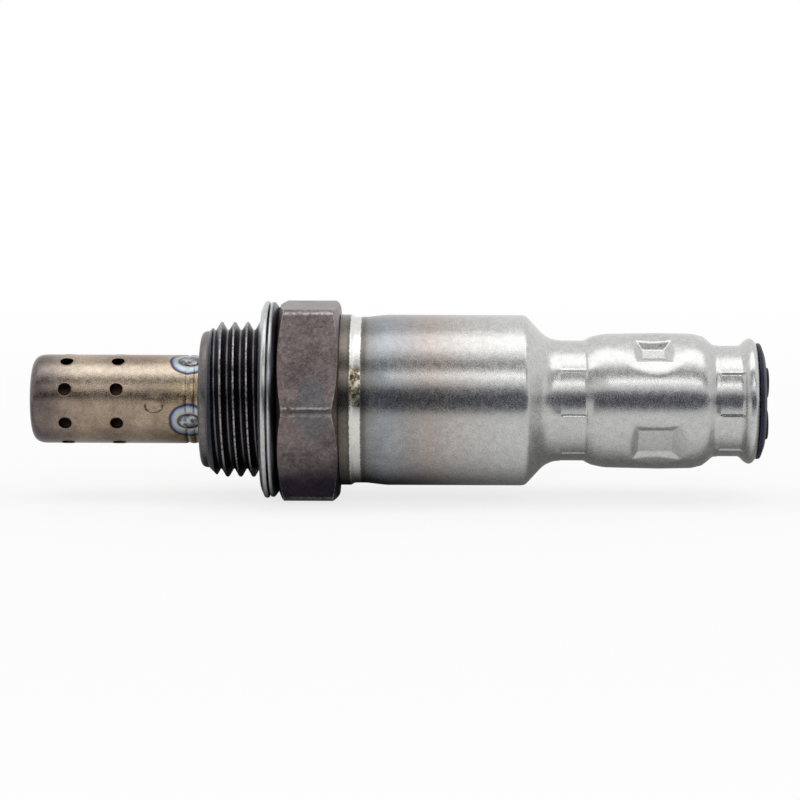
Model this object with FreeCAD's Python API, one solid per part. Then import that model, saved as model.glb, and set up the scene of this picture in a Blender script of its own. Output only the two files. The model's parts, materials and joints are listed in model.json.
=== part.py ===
"""Heated exhaust oxygen sensor with an M18 thread and a 22 mm hexagon, built as it is assembled.

Millimetres. The sensor's axis is X. The origin lies on the axis, in the plane of the gasket's sealing
face, where the exhaust boss ends. -X points to the probe tip in the exhaust, and +X to the cable end.
+Z is up, and one flat of the hexagon faces down.

A turned profile is a list of (x, radius) or (x, radius, corner radius) points, taken round the X axis.
"""

import FreeCAD
import Part

import math
import os

Vector = FreeCAD.Vector

# General fits
press_gap = 0.02
slip_gap = 0.04
seat_gap = 0.03
free_gap = 0.3

# Threaded shell, from the boss towards the probe
thread_diameter = 18.0
thread_length = 5.0
thread_runout = 0.4
nose_diameter = 15.8
nose_length = 0.9
nose_corner = 0.8
relief_diameter = 16.0
collar_length = 2.4

# Hexagon
hexagon_across_flats = 22.0
hexagon_across_corners = 25.0
hexagon_length = 6.9
hexagon_chamfer_diameter = 21.8
hexagon_chamfer_angle = 30.0

# Chamber for the sensing element, and the rim rolled over it
chamber_diameter = 12.0
element_passage_diameter = 6.2
element_seat_angle = 45.0
element_seat_depth = 3.03
crimp_rim_length = 1.9
crimp_rim_wall = 1.2
crimp_lip_thickness = 0.95
crimp_lip_overhang = 1.25
crimp_lip_corner = 0.24

# Folded gasket
gasket_sheet = 0.5
gasket_slot = 0.3
gasket_fold_width = 2.8
gasket_rear_setback = 0.1
gasket_thread_clearance = 0.15
gasket_relief_clearance = 0.6
gasket_edge_radius = 0.2
gasket_fold_flat = 0.002

# Outer protection tube
outer_tube_diameter = 10.24
outer_tube_wall = 0.4
outer_tube_corner = 1.65
outer_tube_length = 19.5
outer_hole_diameter = 1.55
outer_hole_count = 8
outer_hole_row_count = 2
outer_hole_setback = 4.16
outer_hole_pitch = 5.9
outer_hole_phase = 18.8
outer_tip_hole_diameter = 2.4
tube_groove_setback = 1.4
tube_groove_width = 0.6
tube_groove_depth = 0.08

# Inner protection tube
inner_tube_diameter = 7.2
inner_tube_wall = 0.35
inner_tube_corner = 1.1
inner_tube_length = 17.7
inner_tube_seat = 2.2
inner_hole_diameter = 1.2
inner_hole_count = 6
inner_hole_row_count = 2
inner_hole_setback = 4.7
inner_hole_pitch = 6.8
inner_hole_phase = 3.0
inner_tip_hole_diameter = 1.6

# Zirconia thimble
thimble_probe_length = 21.2
thimble_tip_diameter = 4.6
thimble_tip_corner = 2.1
thimble_shaft_diameter = 5.5
thimble_shoulder_clearance = 0.35
thimble_shoulder_length = 2.3
thimble_neck_clearance = 1.9
thimble_stub_length = 4.2
thimble_bottom_thickness = 1.5
thimble_bore_diameter = 3.5
thimble_neck_wall = 1.5
thimble_mouth_depth = 10.6
thimble_shaft_fillet = 0.5
thimble_shoulder_edge = 0.4
thimble_neck_fillet = 0.6
thimble_rear_edge = 0.3
thimble_mouth_edge = 0.2
thimble_bore_fillet = 0.5
thimble_floor_corner = 1.4

# Packing round the thimble
seat_washer_thickness = 0.4
seat_washer_inner_margin = 0.6
seat_washer_outer_margin = 0.45
talc_length = 3.6
spacer_edge = 0.2
crimp_ring_thickness = 0.8
crimp_ring_edge = 0.2

# Heater
heater_diameter = 2.9
heater_tip_gap = 0.7
heater_stub_length = 1.6
heater_tip_edge = 0.4
heater_rear_edge = 0.15
heater_lead_diameter = 0.6
heater_lead_spread = 0.75
heater_lead_straight = 0.5
heater_lead_bend = 1.1

# Contacts of sheet nickel
contact_sheet = 0.25
contact_bend = 0.3
signal_grip_length = 2.0
signal_flange_diameter = 8.0
signal_slot_width = 0.6
signal_slot_setback = 2.0
ground_sheet = 0.3
ground_front_gap = 0.5
ground_rear_setback = 0.6
ground_slot_width = 0.7
ground_slot_setback = 1.2
strip_width = 1.7
spring_slot_count = 3
spring_slot_phase = 15.0

# Crimp terminals for the leads
barrel_length = 3.8
barrel_wall = 0.3
barrel_setback = 0.2
terminal_neck_length = 1.6
terminal_neck_wall = 0.3
terminal_cone_length = 0.6
terminal_cone_fillet = 0.1
terminal_lead_grip = 1.2

# Ceramic separator and its spring ring
lead_circle_diameter = 6.8
lead_phase = 45.0
lead_count = 4
separator_front_length = 6.54
separator_rear_length = 3.36
separator_body_diameter = 14.8
separator_flange_length = 2.3
separator_flange_clearance = 0.25
separator_top_clearance = 0.36
separator_recess_diameter = 10.4
separator_recess_depth = 4.0
separator_recess_fillet = 0.3
separator_shoulder_gap = 0.17
separator_edge = 0.4
separator_small_edge = 0.2
separator_hole_diameter = 2.8
spring_ring_sheet = 0.4
spring_ring_length = 2.9

# Drawn cover, from the hexagon to the lip
cover_wall = 0.5
cover_gap_to_hexagon = 0.1
sleeve_diameter = 19.74
sleeve_length = 21.26
weld_groove_setback = 1.2
weld_groove_length = 1.35
weld_groove_depth = 0.26
weld_groove_front = 0.45
weld_groove_rear = 2.25
shoulder_angle = 47.0
shoulder_corner = 1.0
shoulder_foot_radius = 3.0
front_crimp_diameter = 14.02
front_crimp_length = 4.1
bulge_diameter = 15.74
bulge_front_diameter = 15.26
bulge_rear_diameter = 15.5
bulge_rise_length = 1.85
bulge_front_length = 6.9
bulge_rear_length = 4.4
bulge_fall_length = 1.8
bulge_crown_radius = 18.0
bulge_front_corner = 2.6
bulge_rear_corner = 1.7
rear_crimp_diameter = 12.92
rear_crimp_length = 3.0
crimp_edge_radius = 0.5
flare_diameter = 15.1
flare_length = 1.35
flare_corner = 0.75
lip_diameter = 13.2
lip_length = 0.65

# Ridges that the eight-jaw crimps leave on the cover
crimp_jaw_count = 8
crimp_phase = 36.0
crimp_ridge_radius = 0.25
crimp_ridge_height = 0.11
crimp_ridge_end_gap = 0.25

# Four pockets pressed into the bulge to lock the grommet
pocket_count = 4
pocket_phase = 57.5
pocket_setback = 6.0
pocket_depth = 1.02
pocket_floor_length = 2.5
pocket_floor_width = 1.6
pocket_floor_corner = 0.25
pocket_front_slope = 52.0
pocket_rear_slope = 57.0
pocket_side_slope = 63.0
pocket_front_rim_slope = 80.0
pocket_rear_rim_slope = 84.0
pocket_side_rim_slope = 108.0
pocket_rim_drop = 0.33
pocket_rim_radius = 3.0
pocket_rim_reach = 2.4
pocket_die_height = 1.0

# Rubber grommet
grommet_edge_step = 0.25
grommet_dome_height = 0.75
grommet_dome_diameter = 7.6
grommet_dome_corner = 2.6
grommet_collar_diameter = 3.5
grommet_collar_height = 0.2
grommet_collar_corner = 0.18
lead_hole_diameter = 2.3

# Places and sizes that follow from those above
thread_radius = thread_diameter / 2
relief_radius = relief_diameter / 2
chamber_radius = chamber_diameter / 2
passage_radius = element_passage_diameter / 2
inner_seat_radius = inner_tube_diameter / 2 + press_gap
thread_chamfer = (thread_diameter - nose_diameter) / 2
nose_x = -thread_length - thread_chamfer - nose_length
collar_x = nose_x - collar_length
outer_tube_end = nose_x - seat_gap
outer_tube_tip = outer_tube_end - outer_tube_length
inner_tube_end = collar_x + inner_tube_seat - seat_gap
inner_tube_tip = inner_tube_end - inner_tube_length
gasket_width = 3 * gasket_sheet + 2 * gasket_slot
hexagon_x = gasket_width + seat_gap
hexagon_end = hexagon_x + hexagon_length
cover_start = hexagon_end + cover_gap_to_hexagon
weld_groove_x = cover_start + weld_groove_setback + weld_groove_front
shank_end = weld_groove_x + weld_groove_length + weld_groove_rear
rim_end = shank_end + crimp_rim_length
chamber_end = rim_end - crimp_lip_thickness
crimp_ring_x = chamber_end - seat_gap - crimp_ring_thickness
seat_cone_x = hexagon_x - element_seat_depth
seat_slope = math.tan(math.radians(element_seat_angle))
shoulder_radius = chamber_radius - thimble_shoulder_clearance
neck_radius = chamber_radius - thimble_neck_clearance
mouth_radius = neck_radius - thimble_neck_wall
lip_radius = chamber_radius - crimp_lip_overhang
thimble_end = rim_end + thimble_stub_length
heater_end = thimble_end + heater_stub_length
shoulder_x = cover_start + sleeve_length
shoulder_fall = (sleeve_diameter - front_crimp_diameter) / 2
front_crimp_x = shoulder_x + shoulder_fall / math.tan(math.radians(shoulder_angle))
front_crimp_end = front_crimp_x + front_crimp_length
bulge_x = front_crimp_end + bulge_rise_length
bulge_middle_x = bulge_x + bulge_front_length
bulge_end = bulge_middle_x + bulge_rear_length
rear_crimp_x = bulge_end + bulge_fall_length
rear_crimp_end = rear_crimp_x + rear_crimp_length
flare_x = rear_crimp_end + flare_length
lip_x = flare_x + lip_length
pocket_x = bulge_x + pocket_setback
pocket_floor_radius = bulge_diameter / 2 - pocket_depth
separator_flange_radius = sleeve_diameter / 2 - cover_wall - separator_flange_clearance
separator_flange_end = shoulder_x - separator_shoulder_gap
separator_flange_x = separator_flange_end - separator_flange_length
separator_x = separator_flange_x - separator_front_length
separator_floor = separator_x + separator_recess_depth
separator_end = separator_flange_end + separator_rear_length
lead_circle_radius = lead_circle_diameter / 2
barrel_radius = separator_hole_diameter / 2 - free_gap
barrel_bore_radius = barrel_radius - barrel_wall
barrel_end = separator_end - barrel_setback
barrel_x = barrel_end - barrel_length
grommet_x = separator_end + free_gap
dome_edge_x = lip_x + grommet_edge_step
dome_x = dome_edge_x + grommet_dome_height
grommet_end = dome_x + grommet_collar_height


def corner_arc(before, corner, after, radius):
    """The start, middle and end of the arc that rounds one corner of a profile."""
    back = (before - corner).normalize()
    ahead = (after - corner).normalize()
    half_angle = back.getAngle(ahead) / 2
    inward = (back + ahead).normalize()
    setback = radius / math.tan(half_angle)
    centre = corner + inward * (radius / math.sin(half_angle))
    return corner + back * setback, centre - inward * radius, corner + ahead * setback


def profile_edges(points, closed):
    """Lines and arcs through (x, radius[, corner radius]) points, drawn in the XZ plane."""
    places = [Vector(point[0], 0, point[1]) for point in points]
    corners = [point[2] if len(point) > 2 else 0 for point in points]
    count = len(places)
    edges = []
    pen = None
    order = list(range(count)) + ([0] if closed else [])
    for step, index in enumerate(order):
        entry, leave = places[index], places[index]
        if corners[index] > 0 and (closed or 0 < index < count - 1):
            before, after = places[index - 1], places[(index + 1) % count]
            entry, middle, leave = corner_arc(before, places[index], after, corners[index])
        if pen is not None and pen.distanceToPoint(entry) > 1e-7:
            edges.append(Part.LineSegment(pen, entry).toShape())
        back_at_start = step == count
        if entry.distanceToPoint(leave) > 1e-7 and not back_at_start:
            edges.append(Part.Arc(entry, middle, leave).toShape())
        pen = leave
    return edges


def profile_face(points):
    """The flat face inside a closed profile."""
    return Part.Face(Part.Wire(Part.__sortEdges__(profile_edges(points, closed=True))))


def turned(points):
    """A solid of revolution round the X axis from a closed profile."""
    return profile_face(points).revolve(Vector(0, 0, 0), Vector(1, 0, 0), 360)


def parallel(points, depth):
    """An open profile, drawn towards +X, moved towards the axis by a depth with its corners to match."""
    places = [Vector(point[0], point[1], 0) for point in points]
    moved = []
    for index, place in enumerate(places):
        ways = []
        if index > 0:
            ways.append((place - places[index - 1]).normalize())
        if index < len(places) - 1:
            ways.append((places[index + 1] - place).normalize())
        sides = [Vector(way.y, -way.x, 0) for way in ways]
        side = (sides[0] + sides[-1]).normalize()
        shift = side * (depth / side.dot(sides[0]))
        corner = points[index][2] if len(points[index]) > 2 else 0
        if corner > 0:
            turns_left = ways[0].cross(ways[-1]).z > 0
            corner = max(corner + (depth if turns_left else -depth), press_gap)
        moved.append((place.x + shift.x, place.y + shift.y, corner))
    return moved


def between(points, low, high):
    """The points of a profile that lie strictly between two places along X."""
    return [point for point in points if low < point[0] < high]


def sheet(points, thickness):
    """A spun or drawn sheet: its outer profile and the parallel one inside it, turned round X."""
    inner = parallel(points, thickness)
    return turned(list(points) + inner[::-1])


def rod(x_start, x_end, radius, y=0.0, z=0.0):
    """A cylinder along X."""
    return Part.makeCylinder(radius, x_end - x_start, Vector(x_start, y, z), Vector(1, 0, 0))


def tilt(shape, elevation):
    """Turns a shape made on +Z round the X axis, to an elevation above the -Y side."""
    shape.rotate(Vector(0, 0, 0), Vector(1, 0, 0), 90.0 - elevation)
    return shape


def around(shape, count, phase):
    """Copies of a shape made on +Z at equal steps round the X axis, one of them at the phase."""
    return [tilt(shape.copy(), phase + index * 360.0 / count) for index in range(count)]


def on_lead_circle(index):
    """The Y and Z of one of the lead positions."""
    angle = math.radians(lead_phase + index * 360.0 / lead_count)
    return lead_circle_radius * math.cos(angle), lead_circle_radius * math.sin(angle)


def outer_tube_outline():
    """The outer profile of the outer protection tube, from its tip hole to the shell's nose."""
    radius = outer_tube_diameter / 2
    groove = outer_tube_end - tube_groove_setback
    half = tube_groove_width / 2
    return [
        (outer_tube_tip, outer_tip_hole_diameter / 2),
        (outer_tube_tip, radius, outer_tube_corner),
        (groove - half, radius),
        (groove, radius - tube_groove_depth, half),
        (groove + half, radius),
        (outer_tube_end, radius),
    ]


def cover_outline():
    """The outer profile of the drawn cover, from the hexagon to the lip round the grommet."""
    sleeve = sleeve_diameter / 2
    groove = sleeve - weld_groove_depth
    front_crimp = front_crimp_diameter / 2
    rear_crimp = rear_crimp_diameter / 2
    groove_end = weld_groove_x + weld_groove_length
    return [
        (cover_start, sleeve),
        (weld_groove_x - weld_groove_front, sleeve, weld_groove_front),
        (weld_groove_x, groove, weld_groove_front),
        (groove_end, groove, weld_groove_rear),
        (shank_end, sleeve, 2 * weld_groove_rear),
        (shoulder_x, sleeve, shoulder_corner),
        (front_crimp_x, front_crimp, shoulder_foot_radius),
        (front_crimp_end, front_crimp, crimp_edge_radius),
        (bulge_x, bulge_front_diameter / 2, bulge_front_corner),
        (bulge_middle_x, bulge_diameter / 2, bulge_crown_radius),
        (bulge_end, bulge_rear_diameter / 2, bulge_rear_corner),
        (rear_crimp_x, rear_crimp, crimp_edge_radius),
        (rear_crimp_end, rear_crimp, crimp_edge_radius),
        (flare_x, flare_diameter / 2, flare_corner),
        (lip_x, lip_diameter / 2),
    ]


def die_wall(foot, slope, rim_slope):
    """One wall of the pocket die, with its slopes from the radial: floor, wall and rounded rim."""
    rim = bulge_diameter / 2 - pocket_rim_drop
    rim_foot = foot + (rim - pocket_floor_radius) * math.tan(math.radians(slope))
    rise = pocket_rim_reach / math.tan(math.radians(rim_slope))
    return [
        (foot, pocket_floor_radius, pocket_floor_corner),
        (rim_foot, rim, pocket_rim_radius),
        (rim_foot + pocket_rim_reach, rim + rise),
    ]


def die_profile(front, rear, growth):
    """The die's closed section: floor, two walls and their rims, moved outwards by the growth."""
    mirrored = [(-x, *rest) for x, *rest in front]
    section = parallel(mirrored[::-1] + rear, growth)
    lid = bulge_diameter / 2 + pocket_die_height
    return section + [(section[-1][0], lid), (section[0][0], lid)]


def prism(points, half_length):
    """A closed profile drawn in the XZ plane and extruded to both sides along Y."""
    face = profile_face(points)
    face.translate(Vector(0, -half_length, 0))
    return face.extrude(Vector(0, 2 * half_length, 0))


def pocket_die(growth):
    """The die that presses one pocket, on +Z over the bulge, with every face moved out by growth."""
    half_length = pocket_floor_length / 2
    half_width = pocket_floor_width / 2
    front = die_wall(half_length, pocket_front_slope, pocket_front_rim_slope)
    rear = die_wall(half_length, pocket_rear_slope, pocket_rear_rim_slope)
    side = die_wall(half_width, pocket_side_slope, pocket_side_rim_slope)
    along = die_profile(front, rear, growth)
    across = die_profile(side, side, growth)
    reach = bulge_diameter
    across_prism = prism(across, reach)
    across_prism.rotate(Vector(0, 0, 0), Vector(0, 0, 1), 90)
    die = prism(along, reach).common(across_prism)
    die.translate(Vector(pocket_x, 0, 0))
    return die


def pocket_dies(growth):
    """The four dies round the bulge."""
    return around(pocket_die(growth), pocket_count, pocket_phase)


def crimp_ridges():
    """The small lengthwise ridges that are left between the jaws on both crimped necks."""
    necks = (
        (front_crimp_x + shoulder_foot_radius / 2, front_crimp_end, front_crimp_diameter / 2),
        (rear_crimp_x, rear_crimp_end, rear_crimp_diameter / 2),
    )
    ridges = []
    for start, end, radius in necks:
        ridge = rod(
            start + crimp_ridge_end_gap,
            end - crimp_ridge_end_gap,
            crimp_ridge_radius,
            z=radius + crimp_ridge_height - crimp_ridge_radius,
        )
        ridges += around(ridge, crimp_jaw_count, crimp_phase)
    return ridges


def make_cover():
    """Deep-drawn cover with two crimped necks, a flared lip and four pressed pockets."""
    outline = cover_outline()
    low, high = front_crimp_end + bulge_rise_length / 2, bulge_end + bulge_fall_length / 2
    bulge = between(outline, front_crimp_x, rear_crimp_end)
    core = turned(bulge + [(bulge[-1][0], 0.0), (bulge[0][0], 0.0)])
    core = core.common(rod(low, high, bulge_diameter))
    pocket_walls = [die.common(core) for die in pocket_dies(cover_wall)]
    shell = sheet(outline, cover_wall).fuse(pocket_walls)
    shell = shell.cut(pocket_dies(0.0))
    return shell.fuse(crimp_ridges()).removeSplitter()


def make_grommet():
    """Rubber grommet that fills the cover's necks and bulge, with a domed end and four lead holes."""
    depth = cover_wall + slip_gap
    inside = between(parallel(cover_outline(), depth), grommet_x, lip_x + cover_wall)
    body = turned(
        [(grommet_x, 0.0), (grommet_x, front_crimp_diameter / 2 - depth, crimp_edge_radius)]
        + inside
        + [
            (dome_edge_x, inside[-1][1], grommet_edge_step / 2),
            (dome_x, grommet_dome_diameter / 2, grommet_dome_corner),
            (dome_x, 0.0),
        ]
    )
    body = body.cut(pocket_dies(depth))
    collars = []
    holes = []
    for index in range(lead_count):
        y, z = on_lead_circle(index)
        collar = rod(lip_x, grommet_end, grommet_collar_diameter / 2, y, z)
        crown = [edge for edge in collar.Edges if edge.BoundBox.XMin > grommet_end - seat_gap]
        collars.append(collar.makeFillet(grommet_collar_corner, crown))
        holes.append(rod(grommet_x - free_gap, grommet_end + free_gap, lead_hole_diameter / 2, y, z))
    return body.fuse(collars).cut(holes).removeSplitter()


def make_gasket():
    """Crush gasket: one strip folded into an S and closed to a ring."""
    front = gasket_sheet
    middle = front + gasket_slot
    middle_end = middle + gasket_sheet
    rear = middle_end + gasket_slot
    bend = gasket_slot / 2 - gasket_fold_flat
    fold = gasket_sheet + bend
    edge = gasket_edge_radius
    inner = relief_radius + gasket_relief_clearance
    outer = inner + gasket_fold_width
    front_inner = thread_radius + gasket_thread_clearance
    rear_outer = outer - gasket_rear_setback
    return turned(
        [
            (0.0, front_inner, edge),
            (0.0, outer, fold),
            (middle_end, outer, fold),
            (middle_end, inner + gasket_sheet, bend),
            (rear, inner + gasket_sheet, bend),
            (rear, rear_outer, edge),
            (gasket_width, rear_outer, edge),
            (gasket_width, inner, fold),
            (middle, inner, fold),
            (middle, outer - gasket_sheet, bend),
            (front, outer - gasket_sheet, bend),
            (front, front_inner, edge),
        ]
    )


def make_hexagon():
    """Hexagon bar round the shell, turned at its corners, chamfered at both faces and hollow."""
    circumradius = hexagon_across_flats / 2 / math.cos(math.pi / 6)
    corners = []
    for index in range(7):
        angle = index * math.pi / 3
        corners.append(
            Vector(hexagon_x, circumradius * math.cos(angle), circumradius * math.sin(angle))
        )
    bar = Part.Face(Part.makePolygon(corners)).extrude(Vector(hexagon_length, 0, 0))
    face_radius = hexagon_chamfer_diameter / 2
    turned_radius = hexagon_across_corners / 2
    chamfer = (turned_radius - face_radius) * math.tan(math.radians(hexagon_chamfer_angle))
    inner = (relief_radius + chamber_radius) / 2
    blank = turned(
        [
            (hexagon_x, inner),
            (hexagon_x, face_radius),
            (hexagon_x + chamfer, turned_radius),
            (hexagon_end - chamfer, turned_radius),
            (hexagon_end, face_radius),
            (hexagon_end, inner),
        ]
    )
    return bar.common(blank)


def make_housing():
    """Steel shell: collar for the tubes, nose, thread at its major diameter, hexagon and shank."""
    collar = parallel(outer_tube_outline(), outer_tube_wall + press_gap)
    tube_seat_radius = collar[-1][1]
    shank = parallel(cover_outline(), cover_wall + slip_gap)
    shank_radius = shank[0][1]
    seat_rise = (chamber_radius - passage_radius) / seat_slope
    rim_radius = chamber_radius + crimp_rim_wall
    body = turned(
        [(collar_x, inner_seat_radius), (collar_x, tube_seat_radius, 2 * tube_groove_depth)]
        + between(collar, collar_x, outer_tube_end)
        + [
            (nose_x, tube_seat_radius),
            (nose_x, nose_diameter / 2, nose_corner),
            (nose_x + nose_length, nose_diameter / 2),
            (-thread_length, thread_radius),
            (0.0, thread_radius),
            (thread_runout, relief_radius),
            (hexagon_end, relief_radius),
            (hexagon_end, shank_radius),
        ]
        + between(shank, cover_start, shank_end)
        + [
            (shank_end, shank_radius, weld_groove_depth),
            (shank_end, rim_radius, weld_groove_depth),
            (rim_end, rim_radius, crimp_lip_thickness),
            (rim_end, lip_radius, crimp_lip_corner),
            (chamber_end, lip_radius, crimp_lip_corner),
            (chamber_end, chamber_radius),
            (seat_cone_x + seat_rise, chamber_radius),
            (seat_cone_x, passage_radius),
            (collar_x + inner_tube_seat, passage_radius),
            (collar_x + inner_tube_seat, inner_seat_radius),
        ]
    )
    return body.fuse(make_hexagon()).removeSplitter()


def perforations(radius, tip, setback, pitch, rows, count, phase, hole_diameter):
    """Radial drills for the rows of holes round a protection tube."""
    drills = []
    for row in range(rows):
        station = Vector(tip + setback + row * pitch, 0, 0)
        drill = Part.makeCylinder(hole_diameter / 2, 2 * radius, station, Vector(0, 0, 1))
        drills += around(drill, count, phase)
    return drills


def make_outer_tube():
    """Outer protection tube: a drawn cap with two rows of holes and a tip hole."""
    cap = sheet(outer_tube_outline(), outer_tube_wall)
    return cap.cut(
        perforations(
            outer_tube_diameter / 2,
            outer_tube_tip,
            outer_hole_setback,
            outer_hole_pitch,
            outer_hole_row_count,
            outer_hole_count,
            outer_hole_phase,
            outer_hole_diameter,
        )
    )


def make_inner_tube():
    """Inner protection tube, pressed into the collar of the shell."""
    radius = inner_tube_diameter / 2
    outline = [
        (inner_tube_tip, inner_tip_hole_diameter / 2),
        (inner_tube_tip, radius, inner_tube_corner),
        (inner_tube_end, radius),
    ]
    return sheet(outline, inner_tube_wall).cut(
        perforations(
            radius,
            inner_tube_tip,
            inner_hole_setback,
            inner_hole_pitch,
            inner_hole_row_count,
            inner_hole_count,
            inner_hole_phase,
            inner_hole_diameter,
        )
    )


def seat_x(radius):
    """Where the shell's conical seat has a radius."""
    return seat_cone_x + (radius - passage_radius) / seat_slope


def thimble_outline():
    """The thimble's outer profile above the probe: cone on the seat washer, shoulder and neck."""
    lift = (seat_washer_thickness + 2 * press_gap) / math.sin(math.radians(element_seat_angle))
    shaft = thimble_shaft_diameter / 2
    cone_end = seat_x(shoulder_radius) + lift
    shoulder_end = cone_end + thimble_shoulder_length
    return [
        (seat_x(shaft) + lift, shaft, thimble_shaft_fillet),
        (cone_end, shoulder_radius, thimble_shoulder_edge),
        (shoulder_end, shoulder_radius, thimble_shoulder_edge),
        (shoulder_end + shoulder_radius - neck_radius, neck_radius, thimble_neck_fillet),
        (thimble_end, neck_radius, thimble_rear_edge),
    ]


def thimble_tip():
    """Where the closed end of the thimble lies."""
    return thimble_outline()[0][0] - thimble_probe_length


def make_thimble():
    """Zirconia thimble: closed tip, conical shoulder that seats in the shell, open upper end."""
    bore = thimble_bore_diameter / 2
    mouth = mouth_radius
    mouth_x = thimble_end - thimble_mouth_depth
    floor = thimble_tip() + thimble_bottom_thickness
    return turned(
        [
            (thimble_tip(), 0.0),
            (thimble_tip(), thimble_tip_diameter / 2, thimble_tip_corner),
        ]
        + thimble_outline()
        + [
            (thimble_end, mouth, thimble_mouth_edge),
            (mouth_x, mouth, thimble_bore_fillet),
            (mouth_x - (mouth - bore), bore, thimble_bore_fillet),
            (floor, bore, thimble_floor_corner),
            (floor, 0.0),
        ]
    )


def make_seat_washer():
    """Conical washer between the shell's seat and the thimble's shoulder."""
    lean = math.radians(element_seat_angle)
    low = passage_radius + seat_washer_inner_margin
    high = shoulder_radius - seat_washer_outer_margin
    corners = []
    for lift, order in (
        (press_gap, (low, high)),
        (press_gap + seat_washer_thickness, (high, low)),
    ):
        for radius in order:
            corners.append((seat_x(radius) + lift * math.sin(lean), radius - lift * math.cos(lean)))
    return turned(corners)


def talc_end():
    """Where the talc ends and the spacer sleeve begins."""
    return thimble_outline()[3][0] + talc_length


def make_talc():
    """Pressed talc ring over the thimble's shoulder."""
    outer = chamber_radius - press_gap
    under = parallel(thimble_outline(), -press_gap)
    shoulder_end, neck = under[2], under[3]
    return turned(
        [
            (shoulder_end[0] - press_gap, outer),
            (talc_end(), outer),
            (talc_end(), neck[1]),
            neck,
            shoulder_end,
            (shoulder_end[0] - press_gap, shoulder_end[1]),
        ]
    )


def make_spacer():
    """Ceramic sleeve that presses on the talc."""
    outer = chamber_radius - slip_gap
    inner = neck_radius + slip_gap
    start, end = talc_end() + press_gap, crimp_ring_x - press_gap
    corners = ((start, outer), (end, outer), (end, inner), (start, inner))
    return turned([(x, radius, spacer_edge) for x, radius in corners])


def make_crimp_ring():
    """Steel ring under the shell's rolled lip."""
    end = chamber_end - seat_gap
    outer = chamber_radius - slip_gap
    corners = ((crimp_ring_x, outer), (end, outer), (end, lip_radius), (crimp_ring_x, lip_radius))
    return turned([(x, radius, crimp_ring_edge) for x, radius in corners])


def make_heater():
    """Ceramic heater rod."""
    radius = heater_diameter / 2
    tip = thimble_tip() + thimble_bottom_thickness + heater_tip_gap
    return turned(
        [
            (tip, 0.0),
            (tip, radius, heater_tip_edge),
            (heater_end, radius, heater_rear_edge),
            (heater_end, 0.0),
        ]
    )


def make_heater_lead(index):
    """Nickel lead brazed to the end of the heater, bent out to its terminal."""
    y, z = on_lead_circle(index)
    out = Vector(0, y, z).normalize()
    start = heater_end + press_gap
    grip = barrel_x - terminal_cone_length - terminal_neck_length + terminal_lead_grip
    points = [
        Vector(start, 0, 0) + out * heater_lead_spread,
        Vector(start + heater_lead_straight, 0, 0) + out * heater_lead_spread,
        Vector(separator_floor - free_gap, 0, 0) + out * lead_circle_radius,
        Vector(grip, 0, 0) + out * lead_circle_radius,
    ]
    edges = []
    pen = points[0]
    for before, corner, after in zip(points, points[1:], points[2:]):
        entry, middle, leave = corner_arc(before, corner, after, heater_lead_bend)
        if pen.distanceToPoint(entry) > 1e-6:
            edges.append(Part.LineSegment(pen, entry).toShape())
        edges.append(Part.Arc(entry, middle, leave).toShape())
        pen = leave
    edges.append(Part.LineSegment(pen, points[-1]).toShape())
    ring = Part.makeCircle(heater_lead_diameter / 2, points[0], Vector(1, 0, 0))
    return Part.Wire(edges).makePipeShell([Part.Wire(ring)], True, False)


def make_heater_terminal(index):
    """Terminal that grips a heater lead at one end and takes the cable's lead at the other."""
    lead = heater_lead_diameter / 2 + press_gap
    neck = lead + terminal_neck_wall
    cone_x = barrel_x - terminal_cone_length
    start = cone_x - terminal_neck_length
    terminal = turned(
        [
            (start, lead),
            (start, neck),
            (cone_x, neck, terminal_cone_fillet),
            (barrel_x, barrel_radius, terminal_cone_fillet),
            (barrel_end, barrel_radius),
            (barrel_end, barrel_bore_radius),
            (barrel_x, barrel_bore_radius),
            (cone_x, lead),
        ]
    )
    y, z = on_lead_circle(index)
    terminal.translate(Vector(0, y, z))
    return terminal


def contact_tail(index, start, inner_radius, thickness):
    """The strip that runs out from a contact along one lead hole, and the barrel at its end."""
    y, z = on_lead_circle(index)
    strip = Part.makeBox(
        barrel_x + barrel_wall - start,
        strip_width,
        thickness,
        Vector(start, -strip_width / 2, inner_radius),
    )
    strip.rotate(Vector(0, 0, 0), Vector(1, 0, 0), math.degrees(math.atan2(z, y)) - 90.0)
    barrel = rod(barrel_x, barrel_end, barrel_radius, y, z)
    bore = rod(barrel_x - press_gap, barrel_end + free_gap, barrel_bore_radius, y, z)
    return strip.fuse(barrel).cut(bore)


def spring_cuts(start, end, width, radius):
    """Lengthwise saw cuts that let a contact sleeve spring."""
    saw = Part.makeBox(end - start, width, 2 * radius, Vector(start, -width / 2, 0))
    return around(saw, spring_slot_count, spring_slot_phase)


def make_signal_contact():
    """Inner contact: grips the heater, springs against the thimble's bore, ends in a barrel."""
    mouth = mouth_radius - press_gap
    grip = heater_diameter / 2 + press_gap + contact_sheet
    grip_x = thimble_end - thimble_mouth_depth
    grip_end = grip_x + signal_grip_length
    flange_x = thimble_end + press_gap
    flange_end = flange_x + contact_sheet
    sleeve = turned(
        [
            (grip_x, grip),
            (grip_end, grip, contact_bend),
            (grip_end + mouth - grip, mouth, contact_bend),
            (flange_x, mouth),
            (flange_x, signal_flange_diameter / 2),
            (flange_end, signal_flange_diameter / 2),
            (flange_end, mouth - contact_sheet),
            (grip_end + mouth - grip, mouth - contact_sheet, contact_bend),
            (grip_end, grip - contact_sheet, contact_bend),
            (grip_x, grip - contact_sheet),
        ]
    )
    cuts = spring_cuts(
        grip_x - free_gap, thimble_end - signal_slot_setback, signal_slot_width, mouth
    )
    tail = contact_tail(0, flange_x, lead_circle_radius - contact_sheet / 2, contact_sheet)
    return sleeve.cut(cuts).fuse(tail).removeSplitter()


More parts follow.
